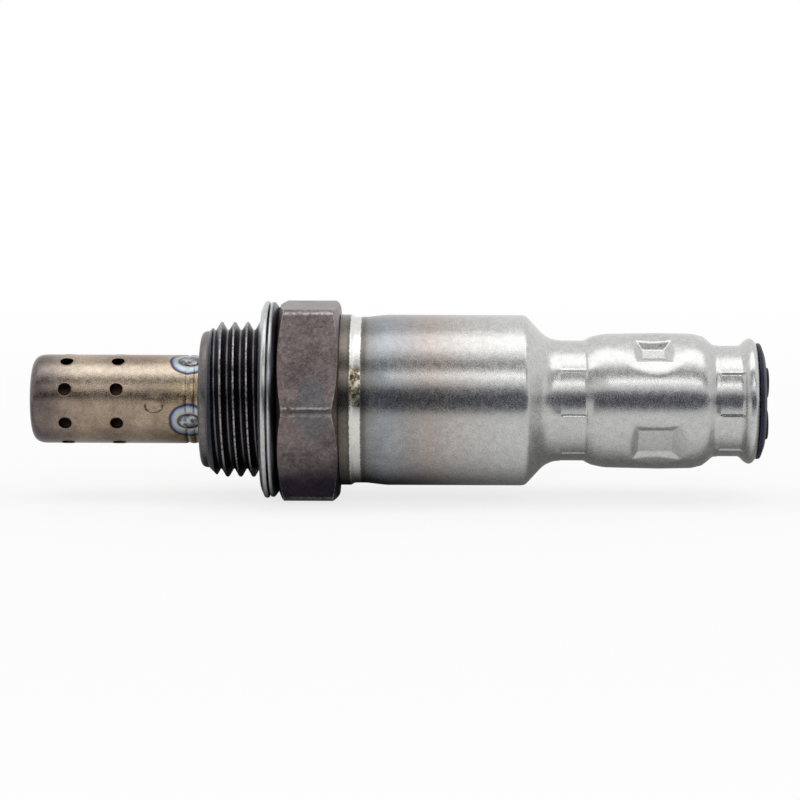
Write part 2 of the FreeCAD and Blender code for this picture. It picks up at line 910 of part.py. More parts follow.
def make_ground_contact():
    """Outer contact: a split sleeve that grips the thimble's neck, with its tail and barrel."""
    inner = neck_radius + press_gap
    outer = inner + ground_sheet
    start, end = rim_end + ground_front_gap, thimble_end - ground_rear_setback
    sleeve = turned([(start, inner), (start, outer), (end, outer), (end, inner)])
    slot_end = end - ground_slot_setback
    cuts = spring_cuts(start - free_gap, slot_end, ground_slot_width, outer)
    tail = contact_tail(2, slot_end, inner, ground_sheet)
    return sleeve.cut(cuts).fuse(tail).removeSplitter()


def make_separator():
    """Ceramic separator: flanged body, recess where the contacts fan out, four lead holes."""
    body = separator_body_diameter / 2
    top = front_crimp_diameter / 2 - cover_wall - separator_top_clearance
    recess = separator_recess_diameter / 2
    ceramic = turned(
        [
            (separator_x, recess, separator_small_edge),
            (separator_x, body, separator_edge),
            (separator_flange_x, body),
            (separator_flange_x, separator_flange_radius, separator_small_edge),
            (separator_flange_end, separator_flange_radius, separator_edge),
            (separator_flange_end, top),
            (separator_end, top, separator_edge),
            (separator_end, 0.0),
            (separator_floor, 0.0),
            (separator_floor, recess, separator_recess_fillet),
        ]
    )
    holes = []
    for index in range(lead_count):
        y, z = on_lead_circle(index)
        start, end = separator_floor - free_gap, separator_end + free_gap
        holes.append(rod(start, end, separator_hole_diameter / 2, y, z))
    return ceramic.cut(holes)


def make_spring_ring():
    """U-shaped spring ring pressed between the separator and the cover, under the flange."""
    inner = separator_body_diameter / 2 + slip_gap
    outer = sleeve_diameter / 2 - cover_wall - slip_gap
    end = separator_flange_x - seat_gap
    start = end - spring_ring_length
    wall = spring_ring_sheet
    return turned(
        [
            (start, inner),
            (end, inner, wall),
            (end, outer, wall),
            (start, outer),
            (start, outer - wall),
            (end - wall, outer - wall, wall / 4),
            (end - wall, inner + wall, wall / 4),
            (start, inner + wall),
        ]
    )


def main():
    """Builds every piece and writes one STEP file for each."""
    pieces = {
        "outer_protection_tube": make_outer_tube(),
        "inner_protection_tube": make_inner_tube(),
        "housing": make_housing(),
        "gasket": make_gasket(),
        "cover": make_cover(),
        "grommet": make_grommet(),
        "zirconia_thimble": make_thimble(),
        "seat_washer": make_seat_washer(),
        "talc_packing": make_talc(),
        "spacer_sleeve": make_spacer(),
        "crimp_ring": make_crimp_ring(),
        "heater_rod": make_heater(),
        "heater_lead_a": make_heater_lead(1),
        "heater_lead_b": make_heater_lead(3),
        "heater_terminal_a": make_heater_terminal(1),
        "heater_terminal_b": make_heater_terminal(3),
        "signal_contact": make_signal_contact(),
        "ground_contact": make_ground_contact(),
        "separator": make_separator(),
        "spring_ring": make_spring_ring(),
    }
    os.makedirs("parts", exist_ok=True)
    for name, shape in pieces.items():
        solids = len(shape.Solids)
        print(f"{name}: {solids} solid, {shape.Volume:.1f} mm3, valid {shape.isValid()}")
        shape.exportStep(f"parts/{name}.step")


main()
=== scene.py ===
"""Dressed model of a heated exhaust oxygen sensor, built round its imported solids.

Sizes are in millimetres and become metres where a mesh is made. The sensor's axis is X, its probe tip
points to -X and its cable end to +X. An elevation is measured round the axis, from the side that faces
the camera (-Y, 0 degrees) up to +Z (90 degrees).
"""

from __future__ import annotations

import json
import logging
import math
from dataclasses import dataclass
from enum import Enum
from typing import Sequence, Union

import bmesh
import bpy
import numpy as np
from mathutils import Matrix, Vector

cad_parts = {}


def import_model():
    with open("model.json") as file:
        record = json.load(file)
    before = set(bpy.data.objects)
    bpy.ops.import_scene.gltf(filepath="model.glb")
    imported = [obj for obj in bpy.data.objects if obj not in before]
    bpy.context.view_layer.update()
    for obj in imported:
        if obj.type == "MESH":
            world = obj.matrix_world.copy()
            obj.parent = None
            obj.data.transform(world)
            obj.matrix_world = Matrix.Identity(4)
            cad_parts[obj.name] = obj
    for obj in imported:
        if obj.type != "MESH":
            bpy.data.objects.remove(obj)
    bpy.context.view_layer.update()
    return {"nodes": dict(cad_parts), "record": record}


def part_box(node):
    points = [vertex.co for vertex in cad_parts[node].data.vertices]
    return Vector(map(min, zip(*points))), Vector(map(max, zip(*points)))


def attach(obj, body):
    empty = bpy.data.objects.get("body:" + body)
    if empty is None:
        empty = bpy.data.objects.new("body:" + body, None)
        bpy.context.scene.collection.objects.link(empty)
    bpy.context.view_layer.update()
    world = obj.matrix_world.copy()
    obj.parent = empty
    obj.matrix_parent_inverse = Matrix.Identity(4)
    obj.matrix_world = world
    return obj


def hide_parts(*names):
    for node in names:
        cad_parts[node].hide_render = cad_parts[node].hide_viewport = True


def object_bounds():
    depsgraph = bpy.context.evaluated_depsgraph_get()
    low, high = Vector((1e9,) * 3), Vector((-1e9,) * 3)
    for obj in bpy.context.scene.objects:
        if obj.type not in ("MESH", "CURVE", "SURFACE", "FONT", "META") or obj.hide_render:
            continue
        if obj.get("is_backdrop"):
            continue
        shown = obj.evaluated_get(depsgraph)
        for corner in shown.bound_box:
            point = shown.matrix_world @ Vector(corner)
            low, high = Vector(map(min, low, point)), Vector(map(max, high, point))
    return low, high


MM = 0.001
BODY = "root"
WELD_DISTANCE = 5e-7
SHARP_ANGLE = math.radians(34)
FLANK_ANGLE = 30.0
ROOT_BLEND = 0.00018
END_BLEND = 0.00012
END_SEAM = 0.0001
WHITE = (1.0, 1.0, 1.0)
BLACK = (0.0, 0.0, 0.0)
LOG = logging.getLogger("oxygen_sensor")

Colour = tuple[float, float, float]
Grid = np.ndarray
Operand = Union["Wire", float]
Stops = tuple[tuple[float, Colour], ...]
Coats = tuple[object, "Wire", "Wire"]


class Blend(Enum):
    """How a second colour is laid on the first."""

    MIX = "MIX"
    OVERLAY = "OVERLAY"


class Wire:
    """A value in a node tree. Arithmetic on it adds Math nodes, so a formula reads as one."""

    def __init__(self, graph: Graph, socket: bpy.types.NodeSocket) -> None:
        """Keeps the graph and the output socket that carries the value."""
        self.graph = graph
        self.socket = socket

    def math(self, operation: str, *others: Operand) -> Wire:
        """Adds one Math node.

        Args:
            operation: The Math node's operation.
            others: The operands after this one.

        Returns:
            The node's result.
        """
        node = self.graph.add("ShaderNodeMath", operation=operation)
        for socket, value in zip(node.inputs, (self, *others)):
            self.graph.feed(socket, value)
        return Wire(self.graph, node.outputs[0])

    def __add__(self, other: Operand) -> Wire:
        """The sum."""
        return self.math("ADD", other)

    def __sub__(self, other: Operand) -> Wire:
        """The difference."""
        return self.math("SUBTRACT", other)

    def __rsub__(self, other: float) -> Wire:
        """A plain number less this value."""
        return (self * -1.0).math("ADD", other)

    def __mul__(self, other: Operand) -> Wire:
        """The product."""
        return self.math("MULTIPLY", other)

    def __truediv__(self, other: Operand) -> Wire:
        """The quotient."""
        return self.math("DIVIDE", other)

    def least(self, other: Operand) -> Wire:
        """The smaller of two values."""
        return self.math("MINIMUM", other)

    def most(self, other: Operand) -> Wire:
        """The larger of two values."""
        return self.math("MAXIMUM", other)

    def step(self, start: float, end: float) -> Wire:
        """Rises smoothly from 0 at start to 1 at end.

        Args:
            start: Where the rise begins.
            end: Where it ends, above or below start.

        Returns:
            The eased value.
        """
        node = self.graph.add("ShaderNodeMapRange", interpolation_type="SMOOTHSTEP")
        self.graph.feed(node.inputs["Value"], self)
        node.inputs["From Min"].default_value = start
        node.inputs["From Max"].default_value = end
        return Wire(self.graph, node.outputs["Result"])

    def bell(self, centre: float, half_width: float) -> Wire:
        """A soft peak of height 1 at the centre, sunk to a third at half_width from it."""
        offset = (self - centre) / half_width
        return (offset * offset * -1.0).math("EXPONENT")


class Graph:
    """Adds and joins nodes in one shader or geometry tree."""

    def __init__(self, tree: bpy.types.NodeTree) -> None:
        """Keeps the tree."""
        self.tree = tree

    def add(self, kind: str, **settings: object) -> bpy.types.Node:
        """Adds a node.

        Args:
            kind: The node's type name.
            settings: Properties to set on it.

        Returns:
            The node.
        """
        node = self.tree.nodes.new(kind)
        for name, value in settings.items():
            setattr(node, name, value)
        return node

    def feed(self, socket: bpy.types.NodeSocket, value: object) -> None:
        """Gives an input its value.

        Args:
            socket: The input.
            value: A Wire, an output socket, or a plain value.
        """
        if isinstance(value, Wire):
            self.tree.links.new(value.socket, socket)
        elif isinstance(value, bpy.types.NodeSocket):
            self.tree.links.new(value, socket)
        elif isinstance(value, tuple) and len(value) == 3 and socket.type == "RGBA":
            socket.default_value = (*value, 1.0)
        else:
            socket.default_value = value

    def call(self, kind: str, inputs: dict[str, object], **settings: object) -> bpy.types.Node:
        """Adds a node and fills inputs by name.

        Args:
            kind: The node's type name.
            inputs: Values by the inputs' names.
            settings: Properties to set on it.

        Returns:
            The node.
        """
        node = self.add(kind, **settings)
        for name, value in inputs.items():
            self.feed(node.inputs[name], value)
        return node

    def wire(self, node: bpy.types.Node, output: str) -> Wire:
        """One of a node's outputs as a Wire."""
        return Wire(self, node.outputs[output])

    def kept(self, kind: str) -> bpy.types.Node:
        """The node of a type that a new material already has."""
        return next(node for node in self.tree.nodes if node.type == kind)

    def position(self) -> tuple[Wire, Wire, Wire]:
        """Splits a point's place, in a geometry tree.

        Returns:
            Its three parts, in metres.
        """
        place = self.add("GeometryNodeInputPosition").outputs[0]
        split = self.call("ShaderNodeSeparateXYZ", {"Vector": place})
        return tuple(self.wire(split, name) for name in "XYZ")

    def coordinates(self) -> bpy.types.NodeSocket:
        """The object's own coordinates, in metres."""
        return self.add("ShaderNodeTexCoord").outputs["Object"]

    def axes(self, vector: bpy.types.NodeSocket) -> tuple[Wire, Wire, Wire]:
        """The three parts of a place, in millimetres."""
        split = self.call("ShaderNodeSeparateXYZ", {"Vector": vector})
        return tuple(self.wire(split, name) * (1 / MM) for name in "XYZ")

    def noise(self, vector: object, scale: Operand, detail: float = 2.0, rough: float = 0.5) -> Wire:
        """A noise texture from 0 to 1, its scale in features to the metre."""
        inputs = {"Vector": vector, "Scale": scale, "Detail": detail, "Roughness": rough}
        return self.wire(self.call("ShaderNodeTexNoise", inputs), "Fac")

    def stretch(self, vector: bpy.types.NodeSocket, scale: Colour) -> bpy.types.NodeSocket:
        """Coordinates scaled on each axis, for a grain that runs one way."""
        node = self.call("ShaderNodeMapping", {"Vector": vector, "Scale": scale})
        return node.outputs["Vector"]

    def ramp(self, value: Operand, stops: Stops) -> bpy.types.NodeSocket:
        """A colour ramp.

        Args:
            value: Where on the ramp, from 0 to 1.
            stops: Places and colours in order.

        Returns:
            The colour.
        """
        node = self.call("ShaderNodeValToRGB", {"Fac": value})
        elements = node.color_ramp.elements
        while len(elements) < len(stops):
            elements.new(1.0)
        for element, (place, colour) in zip(elements, stops):
            element.position = place
            element.color = (*colour, 1.0)
        return node.outputs["Color"]

    def blend(self, share: Operand, first: object, second: object, how: Blend = Blend.MIX) -> object:
        """Mixes two colours.

        Args:
            share: How much of the second, from 0 to 1.
            first: A colour or an output.
            second: A colour or an output.
            how: How the second is laid on the first.

        Returns:
            The mixed colour.
        """
        node = self.add("ShaderNodeMix", data_type="RGBA", blend_type=how.value)
        for index, value in ((0, share), (6, first), (7, second)):
            self.feed(node.inputs[index], value)
        return node.outputs[2]

    def mix(self, share: Operand, first: object, second: object) -> bpy.types.NodeSocket:
        """Mixes two shaders.

        Args:
            share: How much of the second, from 0 to 1.
            first: A shader's output.
            second: A shader's output.

        Returns:
            The mixed shader.
        """
        node = self.add("ShaderNodeMixShader")
        for socket, value in zip(node.inputs, (share, first, second)):
            self.feed(socket, value)
        return node.outputs[0]


def new_material(name: str) -> tuple[bpy.types.Material, Graph, bpy.types.Node]:
    """Starts a material with nodes.

    Args:
        name: The material's name.

    Returns:
        The material, its graph and its Principled shader.
    """
    material = bpy.data.materials.new(name)
    material.use_nodes = True
    graph = Graph(material.node_tree)
    return material, graph, graph.kept("BSDF_PRINCIPLED")


def group_tree(
    name: str, kind: str, inputs: Sequence[tuple], outputs: Sequence[tuple]
) -> tuple[Graph, bpy.types.Node, bpy.types.Node]:
    """Starts a node group with named sockets.

    Args:
        name: The group's name.
        kind: The tree's type name.
        inputs: Name, socket type and default (or None) of each input.
        outputs: Name and socket type of each output.

    Returns:
        The graph, its input node and its output node.
    """
    tree = bpy.data.node_groups.new(name, kind)
    for label, socket_type, default in inputs:
        socket = tree.interface.new_socket(label, in_out="INPUT", socket_type=socket_type)
        if default is not None:
            socket.default_value = default
    for label, socket_type in outputs:
        tree.interface.new_socket(label, in_out="OUTPUT", socket_type=socket_type)
    graph = Graph(tree)
    return graph, graph.add("NodeGroupInput"), graph.add("NodeGroupOutput")


def sized_tree(name: str, sizes: dict[str, float]) -> tuple[Graph, bpy.types.Node, bpy.types.Node]:
    """Starts a geometry tree whose inputs are a geometry, its sizes by name and a material.

    Args:
        name: The tree's name.
        sizes: The sizes; whole numbers are counts.

    Returns:
        The graph, its input node and its output node.
    """
    kinds = {True: "NodeSocketInt", False: "NodeSocketFloat"}
    inputs = [(label, kinds[isinstance(size, int)], size) for label, size in sizes.items()]
    first, last = ("Geometry", "NodeSocketGeometry", None), ("Material", "NodeSocketMaterial", None)
    return group_tree(name, "GeometryNodeTree", [first, *inputs, last], [first[:2]])


def rounded(points: Sequence[tuple], columns: int = 1, steps: int = 4, loop: bool = False) -> Grid:
    """Rounds the corners of a section, column by column.

    Args:
        points: (x, radius) or (x, radius, corner radius); each number may be an array over the columns.
        columns: How many columns the section has.
        steps: Segments in each rounded corner.
        loop: Whether the last point joins the first.

    Returns:
        The section as an array of rows of (x, radius), each over the columns.
    """
    places = [np.stack([np.broadcast_to(np.asarray(v, float), columns) for v in p[:2]]) for p in points]
    corners = [p[2] if len(p) > 2 else 0.0 for p in points]
    count = len(places)
    rows = []
    for index, here in enumerate(places):
        if corners[index] == 0.0 or (not loop and index in (0, count - 1)):
            rows.append(here)
            continue
        following = (index + 1) % count
        back, ahead = places[index - 1] - here, places[following] - here
        length_back, length_ahead = np.hypot(*back), np.hypot(*ahead)
        back, ahead = back / length_back, ahead / length_ahead
        half = np.arccos(np.clip((back * ahead).sum(axis=0), -1.0, 1.0)) / 2
        share_back = 0.5 if corners[index - 1] else 1.0
        share_ahead = 0.5 if corners[following] else 1.0
        reach = corners[index] / np.tan(half)
        reach = np.minimum(reach, np.minimum(share_back * length_back, share_ahead * length_ahead))
        for t in np.linspace(0.0, 1.0, steps + 1):
            start, end = here + back * reach, here + ahead * reach
            rows.append((1 - t) ** 2 * start + 2 * t * (1 - t) * here + t**2 * end)
    return np.array(rows)


def graded(start: float, end: float, coarse: float, fine: float, zones: Sequence[tuple]) -> Grid:
    """Stations that are close together inside zones and further apart outside.

    Args:
        start: The first station.
        end: The last station.
        coarse: The longest step.
        fine: The step inside the zones.
        zones: (low, high) of each zone.

    Returns:
        The stations, with both ends.
    """
    easing = 0.3
    stations = [start]
    while stations[-1] < end:
        here = stations[-1]
        gap = min((max(low - here, here - high, 0.0) for low, high in zones), default=coarse)
        stations.append(here + min(coarse, fine + easing * gap))
    stations = np.array(stations)
    return start + (stations - start) * (end - start) / (stations[-1] - start)


def wrapped(angle: Grid) -> Grid:
    """An angle in radians brought between -pi and pi."""
    return (angle + math.pi) % (2 * math.pi) - math.pi


def soft_window(value: Grid, low: float, high: float, edge: float) -> Grid:
    """1 between low and high and 0 outside, with edges that are soft over the given width."""
    return 0.5 * (np.tanh((value - low) / edge) - np.tanh((value - high) / edge))


def peak(offset: Grid, half_width: float) -> Grid:
    """A soft peak of height 1 at offset 0, sunk to a third at half_width."""
    return np.exp(-((offset / half_width) ** 2))


def soft_least(first: Grid, second: Grid, blend: float) -> Grid:
    """The smaller of two values, rounded where they are less than blend apart."""
    near = np.maximum(blend - np.abs(first - second), 0.0) / blend
    return np.minimum(first, second) - near**2 * blend / 4


def new_object(name: str, data: bpy.types.ID) -> bpy.types.Object:
    """Links a new object to the scene.

    Args:
        name: The object's name.
        data: Its mesh, lamp or camera.

    Returns:
        The object.
    """
    thing = bpy.data.objects.new(name, data)
    bpy.context.scene.collection.objects.link(thing)
    return thing


def merge_doubles(mesh: bpy.types.Mesh) -> None:
    """Merges vertices that lie on each other and drops the faces that this empties.

    Args:
        mesh: The mesh.
    """
    work = bmesh.new()
    work.from_mesh(mesh)
    bmesh.ops.remove_doubles(work, verts=work.verts, dist=WELD_DISTANCE)
    bmesh.ops.dissolve_degenerate(work, edges=work.edges, dist=WELD_DISTANCE)
    work.to_mesh(mesh)
    work.free()


def shade(mesh: bpy.types.Mesh) -> None:
    """Shades a mesh smooth, with its sharp edges kept."""
    mesh.shade_smooth()
    mesh.set_sharp_from_angle(angle=SHARP_ANGLE)


def turned_mesh(name: str, section: Grid, angles: Grid, loop: bool, marks: dict[str, Grid]) -> bpy.types.Mesh:
    """A skin round the X axis whose section may change with the angle.

    Args:
        name: The mesh's name.
        section: Rows of (x, radius) over the columns, in millimetres.
        angles: The columns' elevations in radians.
        loop: Whether the last row joins the first.
        marks: Values to keep as attributes, each with a number for every row and column.

    Returns:
        The mesh, its faces outwards where a section runs towards +X on the outside.
    """
    x = np.broadcast_to(section[:, 0], (len(section), len(angles)))
    radius = np.broadcast_to(section[:, 1], x.shape)
    points = np.stack([x, -radius * np.cos(angles), radius * np.sin(angles)], axis=-1) * MM
    index = np.arange(x.size).reshape(x.shape)
    here, above = (index, np.roll(index, -1, axis=0)) if loop else (index[:-1], index[1:])
    corners = (here, above, np.roll(above, -1, axis=1), np.roll(here, -1, axis=1))
    mesh = bpy.data.meshes.new(name)
    mesh.from_pydata(points.reshape(-1, 3), [], np.stack(corners, axis=-1).reshape(-1, 4).tolist())
    for label, values in marks.items():
        layer = mesh.attributes.new(label, "FLOAT", "POINT")
        layer.data.foreach_set("value", np.broadcast_to(values, x.shape).astype(np.float32).ravel())
    merge_doubles(mesh)
    shade(mesh)
    return mesh


def turned_piece(name: str, section: Grid, angles: Grid) -> bpy.types.Object:
    """An object with a closed section turned round the axis, named as its mesh."""
    return new_object(name, turned_mesh(name, section, angles, True, {}))


def even_columns(count: int) -> Grid:
    """Elevations at equal steps, in radians."""
    return np.arange(count) * 2 * math.pi / count


def grow(thing: bpy.types.Object, tree: bpy.types.NodeTree, values: dict[str, object]) -> None:
    """Runs a Geometry Nodes tree on an object and keeps the result as its plain mesh.

    Args:
        thing: The object.
        tree: The tree.
        values: The tree's inputs by name.
    """
    modifier = thing.modifiers.new(tree.name, "NODES")
    modifier.node_group = tree
    for item in tree.interface.items_tree:
        if item.item_type == "SOCKET" and item.in_out == "INPUT" and item.name in values:
            modifier[item.identifier] = values[item.name]
    evaluated = thing.evaluated_get(bpy.context.evaluated_depsgraph_get())
    mesh = bpy.data.meshes.new_from_object(evaluated)
    thing.modifiers.clear()
    thing.data = mesh
    merge_doubles(mesh)
    shade(mesh)


def round_the_axis(graph: Graph, x: Operand, radius: Operand, turn: Wire) -> bpy.types.NodeSocket:
    """A place by its station, radius and elevation, in a geometry tree.

    Args:
        graph: The tree's graph.
        x: The station in metres.
        radius: The radius in metres.
        turn: The elevation in radians.

    Returns:
        The place.
    """
    y = turn.math("COSINE") * -1.0 * radius
    z = turn.math("SINE") * radius
    return graph.call("ShaderNodeCombineXYZ", {"X": x, "Y": y, "Z": z}).outputs["Vector"]


@dataclass(frozen=True)
class Finish:
    """A finish: one Principled material whose colour, roughness and relief come from nodes.

    The grain is in grains to the metre and the relief's depth in millimetres.
    """

    name: str
    colour: Colour
    roughness: float = 0.35
    metallic: float = 1.0
    specular: float = 0.5
    grain: float = 9000.0
    depth: float = 0.004

    def paint(self, graph: Graph) -> Coats:
        """Works out what changes over the surface.

        Args:
            graph: The material's graph.

        Returns:
            The base colour, the roughness and the relief's height.
        """
        grain = satin(graph, self.grain)
        tone = graph.blend(0.25, self.colour, grain["Colour"], Blend.OVERLAY)
        return tone, grain["Value"] * 0.1 + (self.roughness - 0.05), grain["Value"]

    def material(self) -> bpy.types.Material:
        """Builds the material.

        Returns:
            The material.
        """
        material, graph, shader = new_material(self.name)
        material.diffuse_color = (*self.colour, 1.0)
        colour, roughness, height = self.paint(graph)
        graph.feed(shader.inputs["Base Color"], colour)
        graph.feed(shader.inputs["Roughness"], roughness)
        shader.inputs["Metallic"].default_value = self.metallic
        shader.inputs["Specular IOR Level"].default_value = self.specular
        bump = graph.call("ShaderNodeBump", {"Height": height, "Distance": self.depth * MM})
        graph.feed(shader.inputs["Normal"], bump.outputs["Normal"])
        return material


def satin(graph: Graph, scale: float) -> dict[str, object]:
    """Places the satin grain group: the fine sparkle of rolled or blasted metal.

    Args:
        graph: The material's graph.
        scale: Grains to the metre.

    Returns:
        The group's colour, from dark to light, and its value.
    """
    tree = bpy.data.node_groups.get("satin_grain") or satin_group()
    node = graph.add("ShaderNodeGroup", node_tree=tree)
    graph.feed(node.inputs["Vector"], graph.coordinates())
    node.inputs["Scale"].default_value = scale
    return {"Colour": node.outputs["Colour"], "Value": graph.wire(node, "Value")}


def satin_group() -> bpy.types.NodeTree:
    """Builds the satin grain group.

    Returns:
        The group: fine grains over broader ones.
    """
    graph, given, result = group_tree(
        "satin_grain",
        "ShaderNodeTree",
        [("Vector", "NodeSocketVector", None), ("Scale", "NodeSocketFloat", 9000.0)],
        [("Colour", "NodeSocketColor"), ("Value", "NodeSocketFloat")],
    )
    scale = graph.wire(given, "Scale")
    fine = graph.noise(given.outputs["Vector"], scale, 2.0, 0.6)
    broad = graph.noise(given.outputs["Vector"], scale * 0.22, 2.0, 0.5)
    value = (fine * 0.65 + broad * 0.35).step(0.32, 0.68)
    greys = ((0.0, (0.2, 0.2, 0.2)), (1.0, (0.8, 0.8, 0.8)))
    graph.feed(result.inputs["Value"], value)
    graph.feed(result.inputs["Colour"], graph.ramp(value, greys))
    return graph.tree


def elevation_of(y: Wire, z: Wire) -> Wire:
    """The elevation of a point of a material, in degrees."""
    return z.math("ARCTAN2", y * -1.0) * (180 / math.pi)


@dataclass(frozen=True)
class SpotWelds:
    """Where the spot welds sit round the probe tube, and how far their heat has coloured it."""

    x: float = -8.15
    phase: float = 66.0
    step: float = 90.0
    tube_radius: float = 5.12
    half_length: float = 1.3
    half_width: float = 0.95
    halo_length: float = 2.5
    halo_width: float = 2.3
    outline_depth: float = 0.07
    outline_share: float = 0.13
    dome_height: float = 0.05

    def relief(self, x: Grid, angles: Grid) -> Grid:
        """The nuggets' low domes and the groove round each.

        Args:
            x: The stations.
            angles: The columns' elevations in radians.

        Returns:
            What is added to the radius.
        """
        out = self.reach(x, angles)
        dome = self.dome_height * np.clip(1.0 - out**2, 0.0, None)
        return dome - self.outline_depth * peak(out - 1.0, self.outline_share)

    def turns(self) -> list[float]:
        """The welds' elevations in degrees, from -180 to 180."""
        return [self.phase + self.step * k for k in (-2, -1, 0, 1)]

    def reach(self, x: Grid, angles: Grid) -> Grid:
        """How far out a point is from the nearest weld, 1 on the nugget's edge.

        Args:
            x: The stations.
            angles: The columns' elevations in radians.

        Returns:
            The reach.
        """
        step = math.radians(self.step)
        turn = (angles - math.radians(self.phase) + step / 2) % step - step / 2
        return np.hypot((x - self.x) / self.half_length, turn * self.tube_radius / self.half_width)


@dataclass(frozen=True)
class PunchMark:
    """The punch mark on the probe tube: a hollow, deepest at its lower edge, and a low mound above it."""

    x: float = -12.17
    elevation: float = -4.0
    half_length: float = 1.0
    half_width: float = 0.62
    depth: float = 0.20
    mound_elevation: float = 3.5
    mound_half_length: float = 0.95
    mound_half_width: float = 0.60
    mound_height: float = 0.075

    def relief(self, x: Grid, angles: Grid, tube_radius: float) -> Grid:
        """The hollow and the mound.

        Args:
            x: The stations.
            angles: The columns' elevations in radians.
            tube_radius: The tube's radius.

        Returns:
            What is added to the radius.
        """
        along = (x - self.x) / self.half_length
        across = wrapped(angles - math.radians(self.elevation)) * tube_radius / self.half_width
        hollow = -self.depth * soft_window(np.hypot(along, across), -1.0, 0.88, 0.09)
        hollow = hollow * np.clip(0.35 - 0.65 * across, 0.0, 1.0)
        rise = wrapped(angles - math.radians(self.mound_elevation)) * tube_radius / self.mound_half_width
        mound = self.mound_height * np.exp(-((x - self.x) / self.mound_half_length) ** 2 - rise**2)
        return hollow + mound


